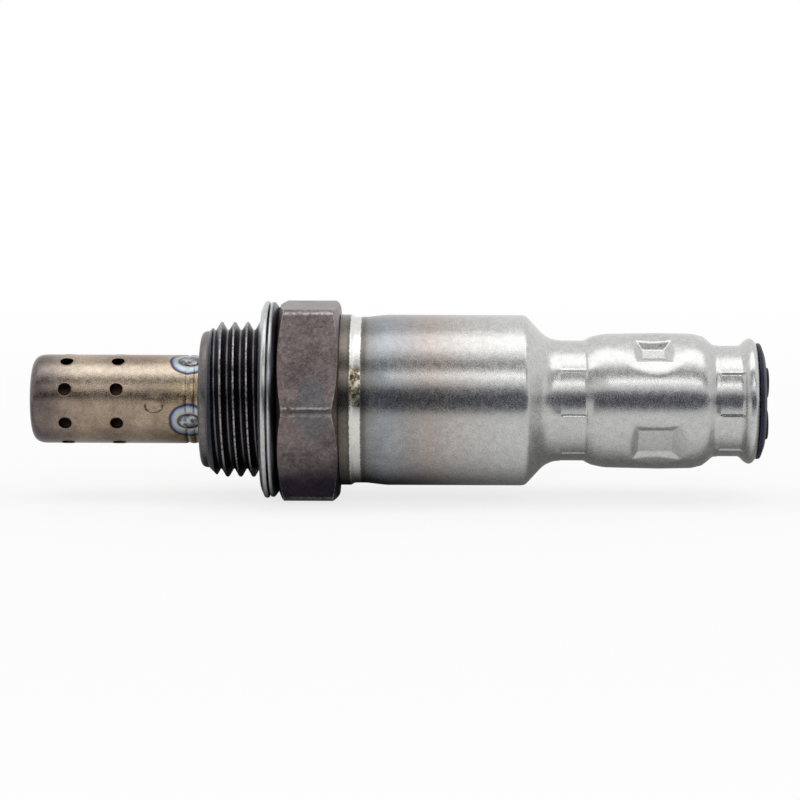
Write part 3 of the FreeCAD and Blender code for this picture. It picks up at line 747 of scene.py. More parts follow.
@dataclass(frozen=True)
class TintedTube(Finish):
    """Straw and brown heat tint, purple tip, colour rings round the welds, a painted highlight band, soot and
    painted shade inside.
    """

    grain: float = 7500.0
    depth: float = 0.045
    tip_x: float = -26.53
    inner_radius: float = 4.9
    straw_run: tuple[float, float] = (-12.0, -7.0)
    # Painted highlight: a paler band round this elevation, where the overhead light is reflected.
    painted_highlight_elevation: float = 44.0
    painted_highlight_half_width: float = 14.0
    purple_run: tuple[float, float] = (8.2, 1.6)
    soot_and_shade_run: tuple[float, float] = (1.6, 1.8)
    bronze: Stops = ((0.0, (0.25, 0.19, 0.148)), (0.5, (0.32, 0.248, 0.19)), (1.0, (0.39, 0.31, 0.235)))
    straw: Colour = (0.42, 0.33, 0.20)
    painted_highlight: Colour = (0.66, 0.60, 0.50)
    purple: Colour = (0.095, 0.078, 0.088)
    rings: Stops = (
        (0.50, (0.36, 0.35, 0.34)),
        (0.62, (0.42, 0.43, 0.42)),
        (0.74, (0.33, 0.42, 0.46)),
        (0.83, (0.20, 0.27, 0.36)),
        (0.89, (0.05, 0.05, 0.11)),
        (0.95, (0.09, 0.045, 0.085)),
        (1.0, (0.22, 0.13, 0.09)),
    )
    cast: Stops = ((0.0, (0.075, 0.08, 0.095)), (0.5, (0.20, 0.21, 0.23)), (1.0, (0.44, 0.45, 0.47)))
    outline: Colour = (0.03, 0.03, 0.035)
    # Painted highlight on the punch mark's mound, then painted shade for the hollow's edge.
    mound: Colour = (0.52, 0.43, 0.33)
    line: Colour = (0.02, 0.015, 0.012)
    # Soot and painted shade: the colour of the tube's inside.
    soot_and_shade: Colour = (0.010, 0.008, 0.009)
    welds: SpotWelds = SpotWelds()
    mark: PunchMark = PunchMark()

    def paint(self, graph: Graph) -> Coats:
        """As the finish's own, with the tint, the weld rings, the punch mark, and soot with painted shade
        inside.

        Args:
            graph: The material's graph.

        Returns:
            The base colour, the roughness and the relief's height.
        """
        where = graph.coordinates()
        x, y, z = graph.axes(where)
        elevation = elevation_of(y, z)
        grain = satin(graph, self.grain)
        tinted = self.tint(graph, where, x, elevation)
        speckled = graph.blend(0.45, tinted, grain["Colour"], Blend.OVERLAY)
        welded, cast = self.weld(graph, where, x, elevation, speckled)
        punched = self.punch(graph, x, elevation, welded)
        radius = (y * y + z * z).math("SQRT")
        # Soot and painted shade: the tube's inside is painted near black.
        inner = radius.step(self.inner_radius + 0.1, self.inner_radius - 0.05)
        inner = inner * x.step(*(self.tip_x + away for away in self.soot_and_shade_run))
        colour = graph.blend(inner, punched, self.soot_and_shade)
        rough = grain["Value"] * 0.1 + (self.roughness - 0.05)
        return colour, rough, grain["Value"] * 0.12 + cast

    def tint(self, graph: Graph, where: object, x: Wire, elevation: Wire) -> object:
        """The heat tint, from straw at the shell over bronze to purple at the tip, with a painted highlight
        band along the upper side.

        Args:
            graph: The material's graph.
            where: The object's coordinates.
            x: The station.
            elevation: The elevation in degrees.

        Returns:
            The colour.
        """
        clouds = graph.noise(where, 260.0, 3.0, 0.55)
        bronze = graph.ramp(clouds.step(0.3, 0.7), self.bronze)
        straw = graph.blend((x + clouds * 2.0).step(*self.straw_run) * 0.75, bronze, self.straw)
        # Painted highlight: the band round the upper side is painted paler.
        pale = elevation.bell(self.painted_highlight_elevation, self.painted_highlight_half_width)
        painted_highlight = graph.blend(pale * 0.42, straw, self.painted_highlight)
        ends = (x + clouds * 3.0).step(*(self.tip_x + away for away in self.purple_run))
        return graph.blend(ends * 0.85, painted_highlight, self.purple)

    def weld(
        self, graph: Graph, where: object, x: Wire, elevation: Wire, under: object
    ) -> tuple[object, Wire]:
        """The spot welds' cast nuggets, dark outlines and rings of heat colour.

        Args:
            graph: The material's graph.
            where: The object's coordinates.
            x: The station.
            elevation: The elevation in degrees.
            under: The colour below.

        Returns:
            The colour, and the nuggets' rough relief.
        """
        welds = self.welds
        away = (elevation - welds.phase).math("WRAP", 0.5 * welds.step, -0.5 * welds.step)
        across = away * (math.pi / 180 * welds.tube_radius)
        along = x - welds.x
        wobble = graph.noise(where, 420.0, 2.0) * 0.24 - 0.12
        halo = self.reach(along, across, welds.halo_length, welds.halo_width) + wobble
        ringed = graph.blend(halo.step(1.04, 0.95), under, graph.ramp(halo, self.rings))
        swirl = graph.noise(where, 1700.0, 3.0, 0.5)
        nugget_reach = self.reach(along, across, welds.half_length, welds.half_width) + wobble * 0.7
        nugget = nugget_reach.step(1.02, 0.9)
        welded = graph.blend(nugget, ringed, graph.ramp(swirl.step(0.36, 0.64), self.cast))
        outlined = graph.blend(nugget_reach.bell(1.0, 0.11) * 0.85, welded, self.outline)
        return outlined, swirl * nugget

    def punch(self, graph: Graph, x: Wire, elevation: Wire, under: object) -> object:
        """The punch mark: painted shade as a dark line along the hollow's lower edge and at its ends, below a
        painted highlight on the mound.

        Args:
            graph: The material's graph.
            x: The station.
            elevation: The elevation in degrees.
            under: The colour below.

        Returns:
            The colour.
        """
        arc = math.pi / 180 * self.welds.tube_radius
        along = x - self.mark.x
        # Painted shade at the hollow's ends and along its lower edge.
        end_shade = along.math("ABSOLUTE").bell(0.98, 0.13) * (elevation + 2.5).bell(0.0, 3.0)
        drop = elevation - self.mark.elevation
        line = self.reach(along, drop * arc, 0.98, 0.64).bell(1.0, 0.09) * drop.step(1.0, -4.0)
        mound = self.reach(along, (elevation - self.mark.mound_elevation) * arc, 1.0, 0.5)
        # Painted highlight: the mound is painted paler.
        mound_highlight = graph.blend(mound.bell(0.0, 0.8) * 0.4, under, self.mound)
        return graph.blend((end_shade + line * 0.75).least(0.9), mound_highlight, self.line)

    @staticmethod
    def reach(along: Wire, across: Wire, half_length: float, half_width: float) -> Wire:
        """How far out a point is from a weld, 1 on an ellipse of the given half sizes."""
        length, width = along / half_length, across / half_width
        return (length * length + width * width).math("SQRT")


@dataclass(frozen=True)
class ForgedShell(Finish):
    """Cold-formed shell: brown-grey hexagon, near-black thread with worn crests."""

    grain: float = 7500.0
    depth: float = 0.009
    thread_end: float = 1.2
    thread_start: float = -6.15
    mottle: Stops = (
        (0.0, (0.115, 0.088, 0.090)),
        (0.5, (0.175, 0.142, 0.142)),
        (1.0, (0.235, 0.195, 0.190)),
    )
    blued: Colour = (0.130, 0.140, 0.148)
    # Painted shade for the lower part of the shell.
    shaded: Colour = (0.016, 0.013, 0.022)
    worn: Colour = (0.58, 0.53, 0.51)
    black: Colour = (0.030, 0.031, 0.048)
    nose: Colour = (0.16, 0.15, 0.15)
    patch_x: float = 6.3
    patch_half_length: float = 1.9
    patch_half_height: float = 3.6
    front_run: tuple[float, float] = (-6.0, -9.0)
    shade_run: tuple[float, float] = (-3.3, -8.2)

    def paint(self, graph: Graph) -> Coats:
        """As the finish's own, with the thread's oxide, the blued patches, the worn edges and painted shade
        low down.

        Args:
            graph: The material's graph.

        Returns:
            The base colour, the roughness and the relief's height.
        """
        where = graph.coordinates()
        x, y, z = graph.axes(where)
        grain = satin(graph, self.grain)
        coarse = graph.noise(where, 2600.0, 3.0, 0.65)
        clouds = graph.noise(where, 300.0, 3.0, 0.6)
        plain = graph.ramp((clouds * 0.55 + coarse * 0.45).step(0.34, 0.66), self.mottle)
        across, along = z / self.patch_half_height, (x - self.patch_x) / self.patch_half_length
        facing = y.step(*self.front_run)
        ragged = (across * across + along * along).math("SQRT") + clouds * 1.4 - 0.7
        patch = ragged.step(1.15, 0.7) * facing
        blue = graph.noise(where, 190.0, 1.0, 0.4).step(0.60, 0.70) * (1.0 - facing)
        patched = graph.blend((blue + patch) * 0.6, plain, self.blued)
        # Painted shade: darker towards the bottom of the shell.
        low = (z + clouds * 2.0).step(*self.shade_run)
        shaded = graph.blend(low * 0.93, patched, self.shaded)
        nosed = graph.blend(x.step(self.thread_start + 0.2, self.thread_start - 0.2), shaded, self.nose)
        behind_start = x.step(self.thread_start - 0.1, self.thread_start + 0.3)
        threaded = behind_start * x.step(self.thread_end + 0.4, self.thread_end - 0.4)
        oxide = graph.blend(threaded, nosed, self.black)
        speckled = graph.blend(0.5, oxide, grain["Colour"], Blend.OVERLAY)
        crest = graph.wire(graph.add("ShaderNodeAttribute", attribute_name="crest"), "Fac")
        edge = graph.wire(graph.add("ShaderNodeAttribute", attribute_name="edge"), "Fac")
        chips = graph.noise(where, 2600.0, 2.0, 0.6).step(0.3, 0.62)
        root = crest.step(0.10, 0.02) * threaded * 0.16
        wear = crest.step(0.88, 0.99) * (chips * 0.5 + 0.12) + edge * (chips * 0.9 + 0.1) + root
        colour = graph.blend(wear.least(1.0), speckled, self.worn)
        rough = grain["Value"] * 0.1 + self.roughness - 0.05 - threaded * 0.06
        return colour, rough, grain["Value"] + coarse * 0.8


@dataclass(frozen=True)
class FoldedStrip(Finish):
    """Bright rolled strip, with painted shade on the lobe next to the hexagon."""

    grain: float = 8000.0
    depth: float = 0.006
    painted_shade_from: float = 1.24
    # Painted shade: the rear lobe's colour, in the shadow between the gasket and the hexagon.
    dark: Colour = (0.07, 0.07, 0.085)

    def paint(self, graph: Graph) -> Coats:
        """As the finish's own, with rolling lines round the axis and painted shade on the rear lobe.

        Args:
            graph: The material's graph.

        Returns:
            The base colour, the roughness and the relief's height.
        """
        where = graph.coordinates()
        x = graph.axes(where)[0]
        lines = graph.noise(graph.stretch(where, (9.0, 0.4, 0.4)), 2600.0, 3.0, 0.6)
        grain = satin(graph, self.grain)
        # Painted shade on the rear lobe next to the hexagon.
        lobe = (x + lines * 0.1).step(self.painted_shade_from, self.painted_shade_from + 0.3)
        shaded = graph.blend(lobe, self.colour, self.dark)
        colour = graph.blend(0.3, shaded, grain["Colour"], Blend.OVERLAY)
        return colour, lines * 0.14 + (self.roughness - 0.07), lines


@dataclass(frozen=True)
class DrawnCover(Finish):
    """Satin stainless cover: weld band, tint of the weld's heat, fine grain towards the cable end."""

    grain: float = 6000.0
    depth: float = 0.0045
    start: float = 9.13
    length: float = 47.98
    weld_start: float = 10.35
    weld_end: float = 11.45
    overlap_low: float = 2.0
    overlap_high: float = 33.0
    heat: Stops = (
        (0.000, (0.105, 0.090, 0.078)),
        (0.030, (0.17, 0.155, 0.135)),
        (0.060, (0.22, 0.215, 0.205)),
        (0.110, (0.31, 0.325, 0.345)),
        (0.165, (0.34, 0.325, 0.325)),
        (0.215, (0.40, 0.355, 0.33)),
        (0.300, (0.48, 0.465, 0.45)),
    )
    heat_end: float = 0.400
    scale: Colour = (0.07, 0.06, 0.055)
    bead: Colour = (0.70, 0.69, 0.66)
    gold: Stops = ((0.0, (0.075, 0.06, 0.05)), (0.45, (0.34, 0.28, 0.18)), (1.0, (0.78, 0.72, 0.56)))

    def paint(self, graph: Graph) -> Coats:
        """As the finish's own, with the heat's tint along the sleeve and the weld's overlap.

        Args:
            graph: The material's graph.

        Returns:
            The base colour, the roughness and the relief's height.
        """
        where = graph.coordinates()
        x, y, z = graph.axes(where)
        grain = satin(graph, self.grain)
        clouds = graph.noise(where, 190.0, 3.0, 0.55)
        turned = graph.noise(graph.stretch(where, (3.0, 0.35, 0.35)), 1500.0, 2.0, 0.5)
        ragged = (clouds - 0.5) * 3.2 + x
        stops = (*self.heat, (self.heat_end, self.colour))
        tint = graph.ramp((ragged - self.start) / self.length, stops)
        seam = graph.noise(graph.stretch(where, (0.6, 1.0, 1.0)), 2300.0, 2.0, 0.5)
        seam_x = x + seam * 0.22
        band = seam_x.step(self.weld_start, self.weld_start + 0.14)
        band = band * seam_x.step(self.weld_end + 0.25, self.weld_end + 0.11)
        beside = seam_x.bell(self.weld_start - 0.05, 0.22) + seam_x.bell(self.weld_end + 0.5, 0.35)
        scaled = graph.blend(beside.least(1.0) * 0.55, tint, self.scale)
        welded = graph.blend(band, scaled, self.bead)
        elevation = elevation_of(y, z) + clouds * 8.0
        overlap = elevation.step(self.overlap_low, self.overlap_low + 5.0)
        overlap = overlap * elevation.step(self.overlap_high + 4.0, self.overlap_high - 4.0) * band
        drops = graph.noise(where, 1400.0, 2.0, 0.6)
        patched = graph.blend(overlap, welded, graph.ramp(drops.step(0.35, 0.65), self.gold))
        colour = graph.blend(0.30, patched, grain["Colour"], Blend.OVERLAY)
        height = grain["Value"] * 0.4 + turned * 0.35 + overlap * drops * 4.0
        rough = grain["Value"] * 0.08 + turned * 0.05 + (self.roughness - 0.065)
        return colour, rough, height


@dataclass(frozen=True)
class Rubber(Finish):
    """Moulded rubber, slightly glossy and blue in its highlights."""

    metallic: float = 0.0
    specular: float = 0.22
    depth: float = 0.01
    dust: Colour = (0.20, 0.20, 0.23)

    def paint(self, graph: Graph) -> Coats:
        """As the finish's own, with dust in the broad tones.

        Args:
            graph: The material's graph.

        Returns:
            The base colour, the roughness and the relief's height.
        """
        where = graph.coordinates()
        mould = graph.noise(where, 900.0, 3.0, 0.6)
        dust = graph.noise(where, 2600.0, 2.0, 0.7).step(0.55, 0.8)
        colour = graph.blend(dust * 0.08, self.colour, self.dust)
        return colour, mould * 0.15 + (self.roughness - 0.08), mould + dust


@dataclass(frozen=True)
class Ceramic(Finish):
    """Sintered or pressed ceramic with faint specks."""

    metallic: float = 0.0
    depth: float = 0.012
    speck: Colour = (0.5, 0.47, 0.42)

    def paint(self, graph: Graph) -> Coats:
        """As the finish's own, with specks in the body.

        Args:
            graph: The material's graph.

        Returns:
            The base colour, the roughness and the relief's height.
        """
        specks = graph.noise(graph.coordinates(), 3200.0, 3.0, 0.7)
        colour = graph.blend(specks.step(0.4, 0.75) * 0.2, self.colour, self.speck)
        return colour, specks * 0.2 + (self.roughness - 0.1), specks


FINISHES: tuple[Finish, ...] = (
    TintedTube("heat_tinted_steel", (0.31, 0.24, 0.18), 0.27),
    Finish("inner_tube_steel", (0.13, 0.085, 0.07), 0.62),
    ForgedShell("shell_steel", (0.175, 0.142, 0.142), 0.35),
    FoldedStrip("gasket_steel", (0.50, 0.505, 0.51), 0.30),
    DrawnCover("cover_steel", (0.54, 0.54, 0.53), 0.27),
    Rubber("grommet_rubber", (0.010, 0.012, 0.030), 0.42),
    Ceramic("zirconia", (0.80, 0.78, 0.72), 0.35),
    Finish("packing_steel", (0.50, 0.50, 0.49), 0.35),
    Ceramic("talc", (0.72, 0.70, 0.66), 0.85),
    Ceramic("ceramic", (0.86, 0.84, 0.79), 0.40),
    Ceramic("heater_ceramic", (0.90, 0.89, 0.86), 0.30),
    Finish("nickel", (0.60, 0.56, 0.49), 0.30),
)


class Wardrobe:
    """Builds each finish once and puts it on pieces and CAD nodes."""

    def __init__(self, record: dict) -> None:
        """Builds the finishes, which are named as the record's slots, and notes each node's slot."""
        self.built = {finish.name: finish.material() for finish in FINISHES}
        self.slots = {row["node"]: row["material_slot"] for row in record["subparts"]}

    def dress_node(self, name: str, node: bpy.types.Object) -> None:
        """Gives a CAD node the finish of its slot."""
        node.data.materials.clear()
        node.data.materials.append(self.built[self.slots[name]])

    def dress_piece(self, piece: bpy.types.Object, node: str) -> None:
        """Dresses a piece that is shown in place of a CAD node."""
        self.dress_extra(piece, node)
        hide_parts(node)

    def dress_extra(self, piece: bpy.types.Object, node: str) -> None:
        """Gives a piece the finish of a node, lets it ride on the body and reports it.

        Args:
            piece: The piece.
            node: The CAD node that it belongs to.
        """
        piece.data.materials.clear()
        piece.data.materials.append(self.built[self.slots[node]])
        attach(piece, BODY)
        LOG.info("%s for %s: %d faces", piece.name, node, len(piece.data.polygons))


@dataclass
class ProbeTube:
    """Outer protection tube: a drawn cap with two rows of burred holes, a groove and a punch mark."""

    radius: float = SpotWelds.tube_radius
    wall: float = 0.4
    tip_corner: float = 1.65
    tip_hole_radius: float = 1.2
    hole_radius: float = 0.775
    hole_count: int = 8
    row_count: int = 2
    first_row: float = 4.16
    row_pitch: float = 5.9
    hole_phase: float = 18.8
    burr_radius: float = 0.05
    groove_setback: float = 1.4
    groove_depth: float = 0.11
    groove_half_width: float = 0.19
    second_groove_setback: float = 0.42
    second_groove_depth: float = 0.08
    ridge_setback: float = 0.2
    ridge_height: float = 0.05
    weld_arc: float = 13.0
    punch_arc: tuple[float, float] = (-13.0, 11.5)
    punch_reach: float = 1.3
    groove_reach: float = 2.7
    welds: SpotWelds = SpotWelds()
    mark: PunchMark = PunchMark()

    def build(self) -> bpy.types.Object:
        """Makes the tube's mesh.

        Returns:
            The object, with its holes cut.
        """
        low, high = (corner.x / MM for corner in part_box("outer_protection_tube"))
        arcs = [(turn - self.weld_arc, turn + self.weld_arc) for turn in self.welds.turns()]
        arcs.append(self.punch_arc)
        angles = np.radians(graded(-180.0, 180.0, coarse=3.0, fine=0.9, zones=arcs)[:-1])
        tip_section = [(low, self.tip_hole_radius), (low, self.radius, self.tip_corner), (high, self.radius)]
        tip = rounded(tip_section, steps=8)
        wall_start = low + self.tip_corner
        punched = (self.mark.x - self.punch_reach, self.mark.x + self.punch_reach)
        zones = [punched, (high - self.groove_reach, high)]
        stations = graded(wall_start, high, coarse=0.6, fine=0.09, zones=zones)
        side = np.stack([stations, np.full_like(stations, self.radius)], axis=1)
        outside = np.concatenate([tip[:-1, :, 0], side])
        inside = rounded(
            [
                (high, self.radius - self.wall),
                (low + self.wall, self.radius - self.wall, self.tip_corner - self.wall),
                (low + self.wall, self.tip_hole_radius),
            ],
            steps=6,
        )[:, :, 0]
        section = np.concatenate([outside, inside])[:, :, None] * np.ones(len(angles))
        relief = self.relief(section[:, 0], angles, high)
        relief[len(outside) :] = 0.0
        section[:, 1] += relief
        thing = turned_piece("probe_tube", section, angles)
        sizes = {
            "Tube Radius": self.radius * MM,
            "Hole Radius": self.hole_radius * MM,
            "First Row": (low + self.first_row) * MM,
            "Row Pitch": self.row_pitch * MM,
            "Rows": self.row_count,
            "Holes Round": self.hole_count,
            "Phase": math.radians(self.hole_phase),
            "Burr Radius": self.burr_radius * MM,
        }
        grow(thing, self.perforation_tree(sizes), sizes)
        return thing

    def relief(self, x: Grid, angles: Grid, end: float) -> Grid:
        """The grooves, the ridge at the collar, the punch mark and the spot welds.

        Args:
            x: The stations.
            angles: The columns' elevations.
            end: Where the tube ends.

        Returns:
            What is added to the radius.
        """
        rings = 0.0
        for setback, height in (
            (self.groove_setback, -self.groove_depth),
            (self.second_groove_setback, -self.second_groove_depth),
            (self.ridge_setback, self.ridge_height),
        ):
            rings = rings + height * peak(x - end + setback, self.groove_half_width)
        rings = rings * (1.0 - soft_window(self.welds.reach(x, angles), -1.0, 1.15, 0.1))
        return rings + self.mark.relief(x, angles, self.radius) + self.welds.relief(x, angles)

    @staticmethod
    def perforation_tree(sizes: dict[str, float]) -> bpy.types.NodeTree:
        """Builds the tree that cuts rows of holes round a tube and lays a burr on each rim.

        Args:
            sizes: The tree's inputs, with their first values.

        Returns:
            The tree.
        """
        graph, given, result = sized_tree("perforations", sizes)
        tube, hole = graph.wire(given, "Tube Radius"), graph.wire(given, "Hole Radius")
        count = graph.wire(given, "Holes Round")
        index = graph.wire(graph.add("GeometryNodeInputIndex"), "Index")
        row = (index / count).math("FLOOR")
        turn = graph.wire(given, "Phase") + (index - row * count) / count * (2 * math.pi)
        station = graph.wire(given, "First Row") + row * graph.wire(given, "Row Pitch")
        place = round_the_axis(graph, station, tube, turn)
        outward = round_the_axis(graph, 0.0, 1.0, turn)
        total = graph.wire(given, "Rows") * count
        points = graph.call("GeometryNodePoints", {"Count": total, "Position": place})
        facing = graph.call("FunctionNodeAlignRotationToVector", {"Vector": outward}, axis="Z")
        drill = graph.call("GeometryNodeMeshCylinder", {"Vertices": 40, "Radius": hole, "Depth": tube})
        rim = graph.call("GeometryNodeMeshCircle", {"Vertices": 48, "Radius": hole + 0.02 * MM})
        spread = []
        for shape in (drill, rim):
            inputs = {
                "Points": points.outputs[0],
                "Instance": shape.outputs["Mesh"],
                "Rotation": facing.outputs["Rotation"],
            }
            copies = graph.call("GeometryNodeInstanceOnPoints", inputs).outputs["Instances"]
            real = graph.call("GeometryNodeRealizeInstances", {"Geometry": copies})
            spread.append(real.outputs["Geometry"])
        drills, rims = spread
        cut = graph.add("GeometryNodeMeshBoolean", operation="DIFFERENCE", solver="EXACT")
        graph.feed(cut.inputs[0], given.outputs["Geometry"])
        graph.feed(cut.inputs[1], drills)
        x, y, z = graph.position()
        pull = tube / (y * y + z * z).math("SQRT")
        on_tube = graph.call("ShaderNodeCombineXYZ", {"X": x, "Y": y * pull, "Z": z * pull}).outputs["Vector"]
        laid = graph.call("GeometryNodeSetPosition", {"Geometry": rims, "Position": on_tube})
        line = graph.call("GeometryNodeMeshToCurve", {"Mesh": laid.outputs["Geometry"]})
        burr = graph.wire(given, "Burr Radius")
        bead = graph.call("GeometryNodeCurvePrimitiveCircle", {"Resolution": 8, "Radius": burr})
        curves = {"Curve": line.outputs["Curve"], "Profile Curve": bead.outputs["Curve"]}
        burrs = graph.call("GeometryNodeCurveToMesh", curves)
        finish_tree(graph, given, result, (cut.outputs["Mesh"], burrs.outputs["Mesh"]))
        return graph.tree


def finish_tree(
    graph: Graph, given: bpy.types.Node, result: bpy.types.Node, parts: Sequence[bpy.types.NodeSocket]
) -> None:
    """Joins what a geometry tree has made and ends it in Realize Instances and Set Material.

    Args:
        graph: The tree's graph.
        given: Its input node, with a Material input.
        result: Its output node.
        parts: What it has made, in order.
    """
    joined = graph.add("GeometryNodeJoinGeometry")
    for part in parts:
        graph.feed(joined.inputs[0], part)
    real = graph.call("GeometryNodeRealizeInstances", {"Geometry": joined.outputs["Geometry"]})
    inputs = {"Geometry": real.outputs["Geometry"], "Material": given.outputs["Material"]}
    coated = graph.call("GeometryNodeSetMaterial", inputs)
    graph.feed(result.inputs["Geometry"], coated.outputs["Geometry"])


@dataclass
class ThreadedShell:
    """The shell: collar, nose, rolled thread, relief, hexagon, shank and the chamber inside."""

    columns: int = 360
    pitch: float = 1.5
    crest_radius: float = 9.0
    root_radius: float = 8.05
    crest_half_width: float = 0.09
    crest_phase: float = 0.19
    lines_per_pitch: int = 20
    nose_x: float = -7.0
    nose_radius: float = 7.9
    nose_corner: float = 0.8
    nose_length: float = 0.9
    relief_radius: float = 8.0
    thread_runout: float = 0.4
    hexagon_length: float = 6.9
    hexagon_x: float = 2.13
    across_flats: float = 22.0
    across_corners: float = 25.0
    face_diameter: float = 21.8
    chamfer_angle: float = 21.0
    edge_round: float = 0.14
    seat_radius: float = 3.62
    tube_seat_radius: float = 4.70
    tube_gap: float = 0.1
    seat_depth: float = 2.2
    passage_radius: float = 3.1
    chamber_radius: float = 6.0
    seat_cone_x: float = -0.9
    lip_radius: float = 4.75
    lip_thickness: float = 0.95
    rim_wall: float = 1.2
    rim_length: float = 1.9
    shank_radius: float = 9.3
    groove_radius: float = 9.0
    groove_start: float = 10.1
    groove_end: float = 14.0
    groove_run: float = 0.6
    step_length: float = 0.38
    tube_seat_depth: float = 2.4
    corner_wear: float = 0.55
    ring_wear: float = 9.0
    ring_rows: tuple[int, ...] = (9, 10, 14, 15)
    flat_rows: tuple[int, int] = (8, 17)

    def build(self) -> bpy.types.Object:
        """Makes the shell's mesh.

        Returns:
            The object, with its thread.
        """
        angles = even_columns(self.columns)
        section, edge = self.body(angles)
        mesh = turned_mesh("threaded_shell", section, angles, False, {"edge": edge, "crest": np.zeros(1)})
        thing = new_object("threaded_shell", mesh)
        start, end = self.nose_x + self.nose_length, self.thread_runout
        line_step = self.pitch / self.lines_per_pitch
        lengths = {
            "Start": start,
            "End": end,
            "Pitch": self.pitch,
            "Crest Radius": self.crest_radius,
            "Root Radius": self.root_radius,
            "Nose Radius": self.nose_radius,
            "Relief Radius": self.relief_radius,
            "Runout": self.thread_runout,
            "Phase": self.crest_phase,
            "Crest Half Width": self.crest_half_width,
            "Line Step": line_step,
        }
        sizes = {name: length * MM for name, length in lengths.items()}
        sizes["Lines"] = math.ceil((end - start + self.pitch) / line_step)
        sizes["Columns"] = self.columns
        grow(thing, self.thread_tree(sizes), sizes)
        return thing

    def body(self, angles: Grid) -> tuple[Grid, Grid]:
        """The section from the thread's end round the inside to the thread's start.

        Args:
            angles: The columns' elevations.

        Returns:
            The section, and how near each of its points is to a hexagon edge.
        """
        columns = len(angles)
        from_flat = np.degrees(angles) % 60.0 - 30.0
        flat = self.across_flats / 2 / np.cos(np.radians(from_flat))
        turned = self.across_corners / 2
        side = np.minimum(flat, turned)
        face = np.full(columns, self.face_diameter / 2)
        chamfer = (side - face) * math.tan(math.radians(self.chamfer_angle))
        start, end = self.hexagon_x, self.hexagon_x + self.hexagon_length
        hexagon = rounded(
            [
                (start, self.relief_radius),
                (start, face, self.edge_round),
                (start + chamfer, side, self.edge_round),
                (end - chamfer, side, self.edge_round),
                (end, face, self.edge_round),
                (end, self.shank_radius),
            ],
            columns,
            steps=5,
        )
        land = math.degrees(math.acos(self.across_flats / self.across_corners))
        worn = np.where(np.degrees(angles) < 60.0, 1.0, 0.4)
        corner = worn * peak(np.abs(from_flat) - land, self.corner_wear)
        edge = np.zeros((len(hexagon), columns))
        edge[list(self.ring_rows)] = peak(np.abs(from_flat) - 30.0, self.ring_wear) * 0.7
        flat_rows = slice(*self.flat_rows)
        edge[flat_rows] = np.maximum(edge[flat_rows], corner)
        step_x = self.groove_end + self.step_length
        tube_seat_x = self.nose_x - self.tube_seat_depth
        tube_seat = self.tube_seat_radius - self.tube_gap
        rim_end = step_x + self.rim_length
        chamber_end = rim_end - self.lip_thickness
        rim = self.chamber_radius + self.rim_wall
        inside = rounded(
            [
                (self.groove_start, self.shank_radius),
                (self.groove_start + self.groove_run, self.groove_radius),
                (self.groove_end, self.groove_radius),
                (step_x, self.groove_radius, 0.2),
                (step_x, rim, 0.2),
                (rim_end, rim, 0.8),
                (rim_end, self.lip_radius, 0.2),
                (chamber_end, self.lip_radius, 0.2),
                (chamber_end, self.chamber_radius),
                (self.seat_cone_x + self.chamber_radius - self.passage_radius, self.chamber_radius),
                (self.seat_cone_x, self.passage_radius),
                (tube_seat_x + self.seat_depth, self.passage_radius),
                (tube_seat_x + self.seat_depth, self.seat_radius),
                (tube_seat_x, self.seat_radius),
                (tube_seat_x, tube_seat),
                (self.nose_x, tube_seat),
                (self.nose_x, self.nose_radius, self.nose_corner),
                (self.nose_x + self.nose_length, self.nose_radius),
            ],
            columns,
            steps=5,
        )
        relief = np.broadcast_to(np.array([[self.thread_runout], [self.relief_radius]]), (2, columns))
        section = np.concatenate([relief[None], hexagon, inside])
        edge = np.concatenate([np.zeros((1, columns)), edge, np.zeros((len(inside), columns))])
        return section, edge

    @staticmethod
    def thread_tree(sizes: dict[str, float]) -> bpy.types.NodeTree:
        """Builds the tree that winds a right-hand thread between two stations of the shell.

        Args:
            sizes: The tree's inputs, with their first values.

        Returns:
            The tree. It lays its lines along the helix, so the crests stay clean.
        """
        graph, given, result = sized_tree("rolled_thread", sizes)
        start, end, pitch, crest, root, nose, relief, runout, phase, half_width, step, lines, columns = (
            graph.wire(given, name) for name in sizes
        )
        grid = graph.call(
            "GeometryNodeMeshGrid",
            {"Size X": 1.0, "Size Y": 1.0, "Vertices X": lines + 1.0, "Vertices Y": columns + 1.0},
        )
        across, along = graph.position()[:2]
        line = start - pitch + (across + 0.5) * lines * step
        wound = 0.5 - along
        station = (line + wound * pitch).most(start).least(end)
        off_crest = ((line - phase) / pitch + 0.5).math("FRACT") - 0.5
        off_crest = off_crest.math("ABSOLUTE") * pitch
        steepness = 1 / math.tan(math.radians(FLANK_ANGLE))
        thread = crest - (off_crest - half_width).most(0.0) * steepness
        thread = thread.math("SMOOTH_MAX", root, ROOT_BLEND)
        falling = crest - station.most(0.0) * (crest - relief) / runout
        bored = (nose + (station - start)).least(crest).least(falling)
        radius = thread.math("SMOOTH_MIN", bored, END_BLEND).least(bored)
        held = (station - start).step(0.0, END_SEAM) * (end - station).step(0.0, END_SEAM)
        radius = radius * held + bored * (1.0 - held)
        place = round_the_axis(graph, station, radius, wound * (-2 * math.pi))
        share = (radius - root) / (crest - root)
        crests = {"Geometry": grid.outputs["Mesh"], "Name": "crest", "Value": share}
        marked = graph.call("GeometryNodeStoreNamedAttribute", crests, data_type="FLOAT", domain="POINT")
        moved = {"Geometry": marked.outputs["Geometry"], "Position": place}
        laid = graph.call("GeometryNodeSetPosition", moved)
        finish_tree(graph, given, result, (given.outputs["Geometry"], laid.outputs["Geometry"]))
        return graph.tree


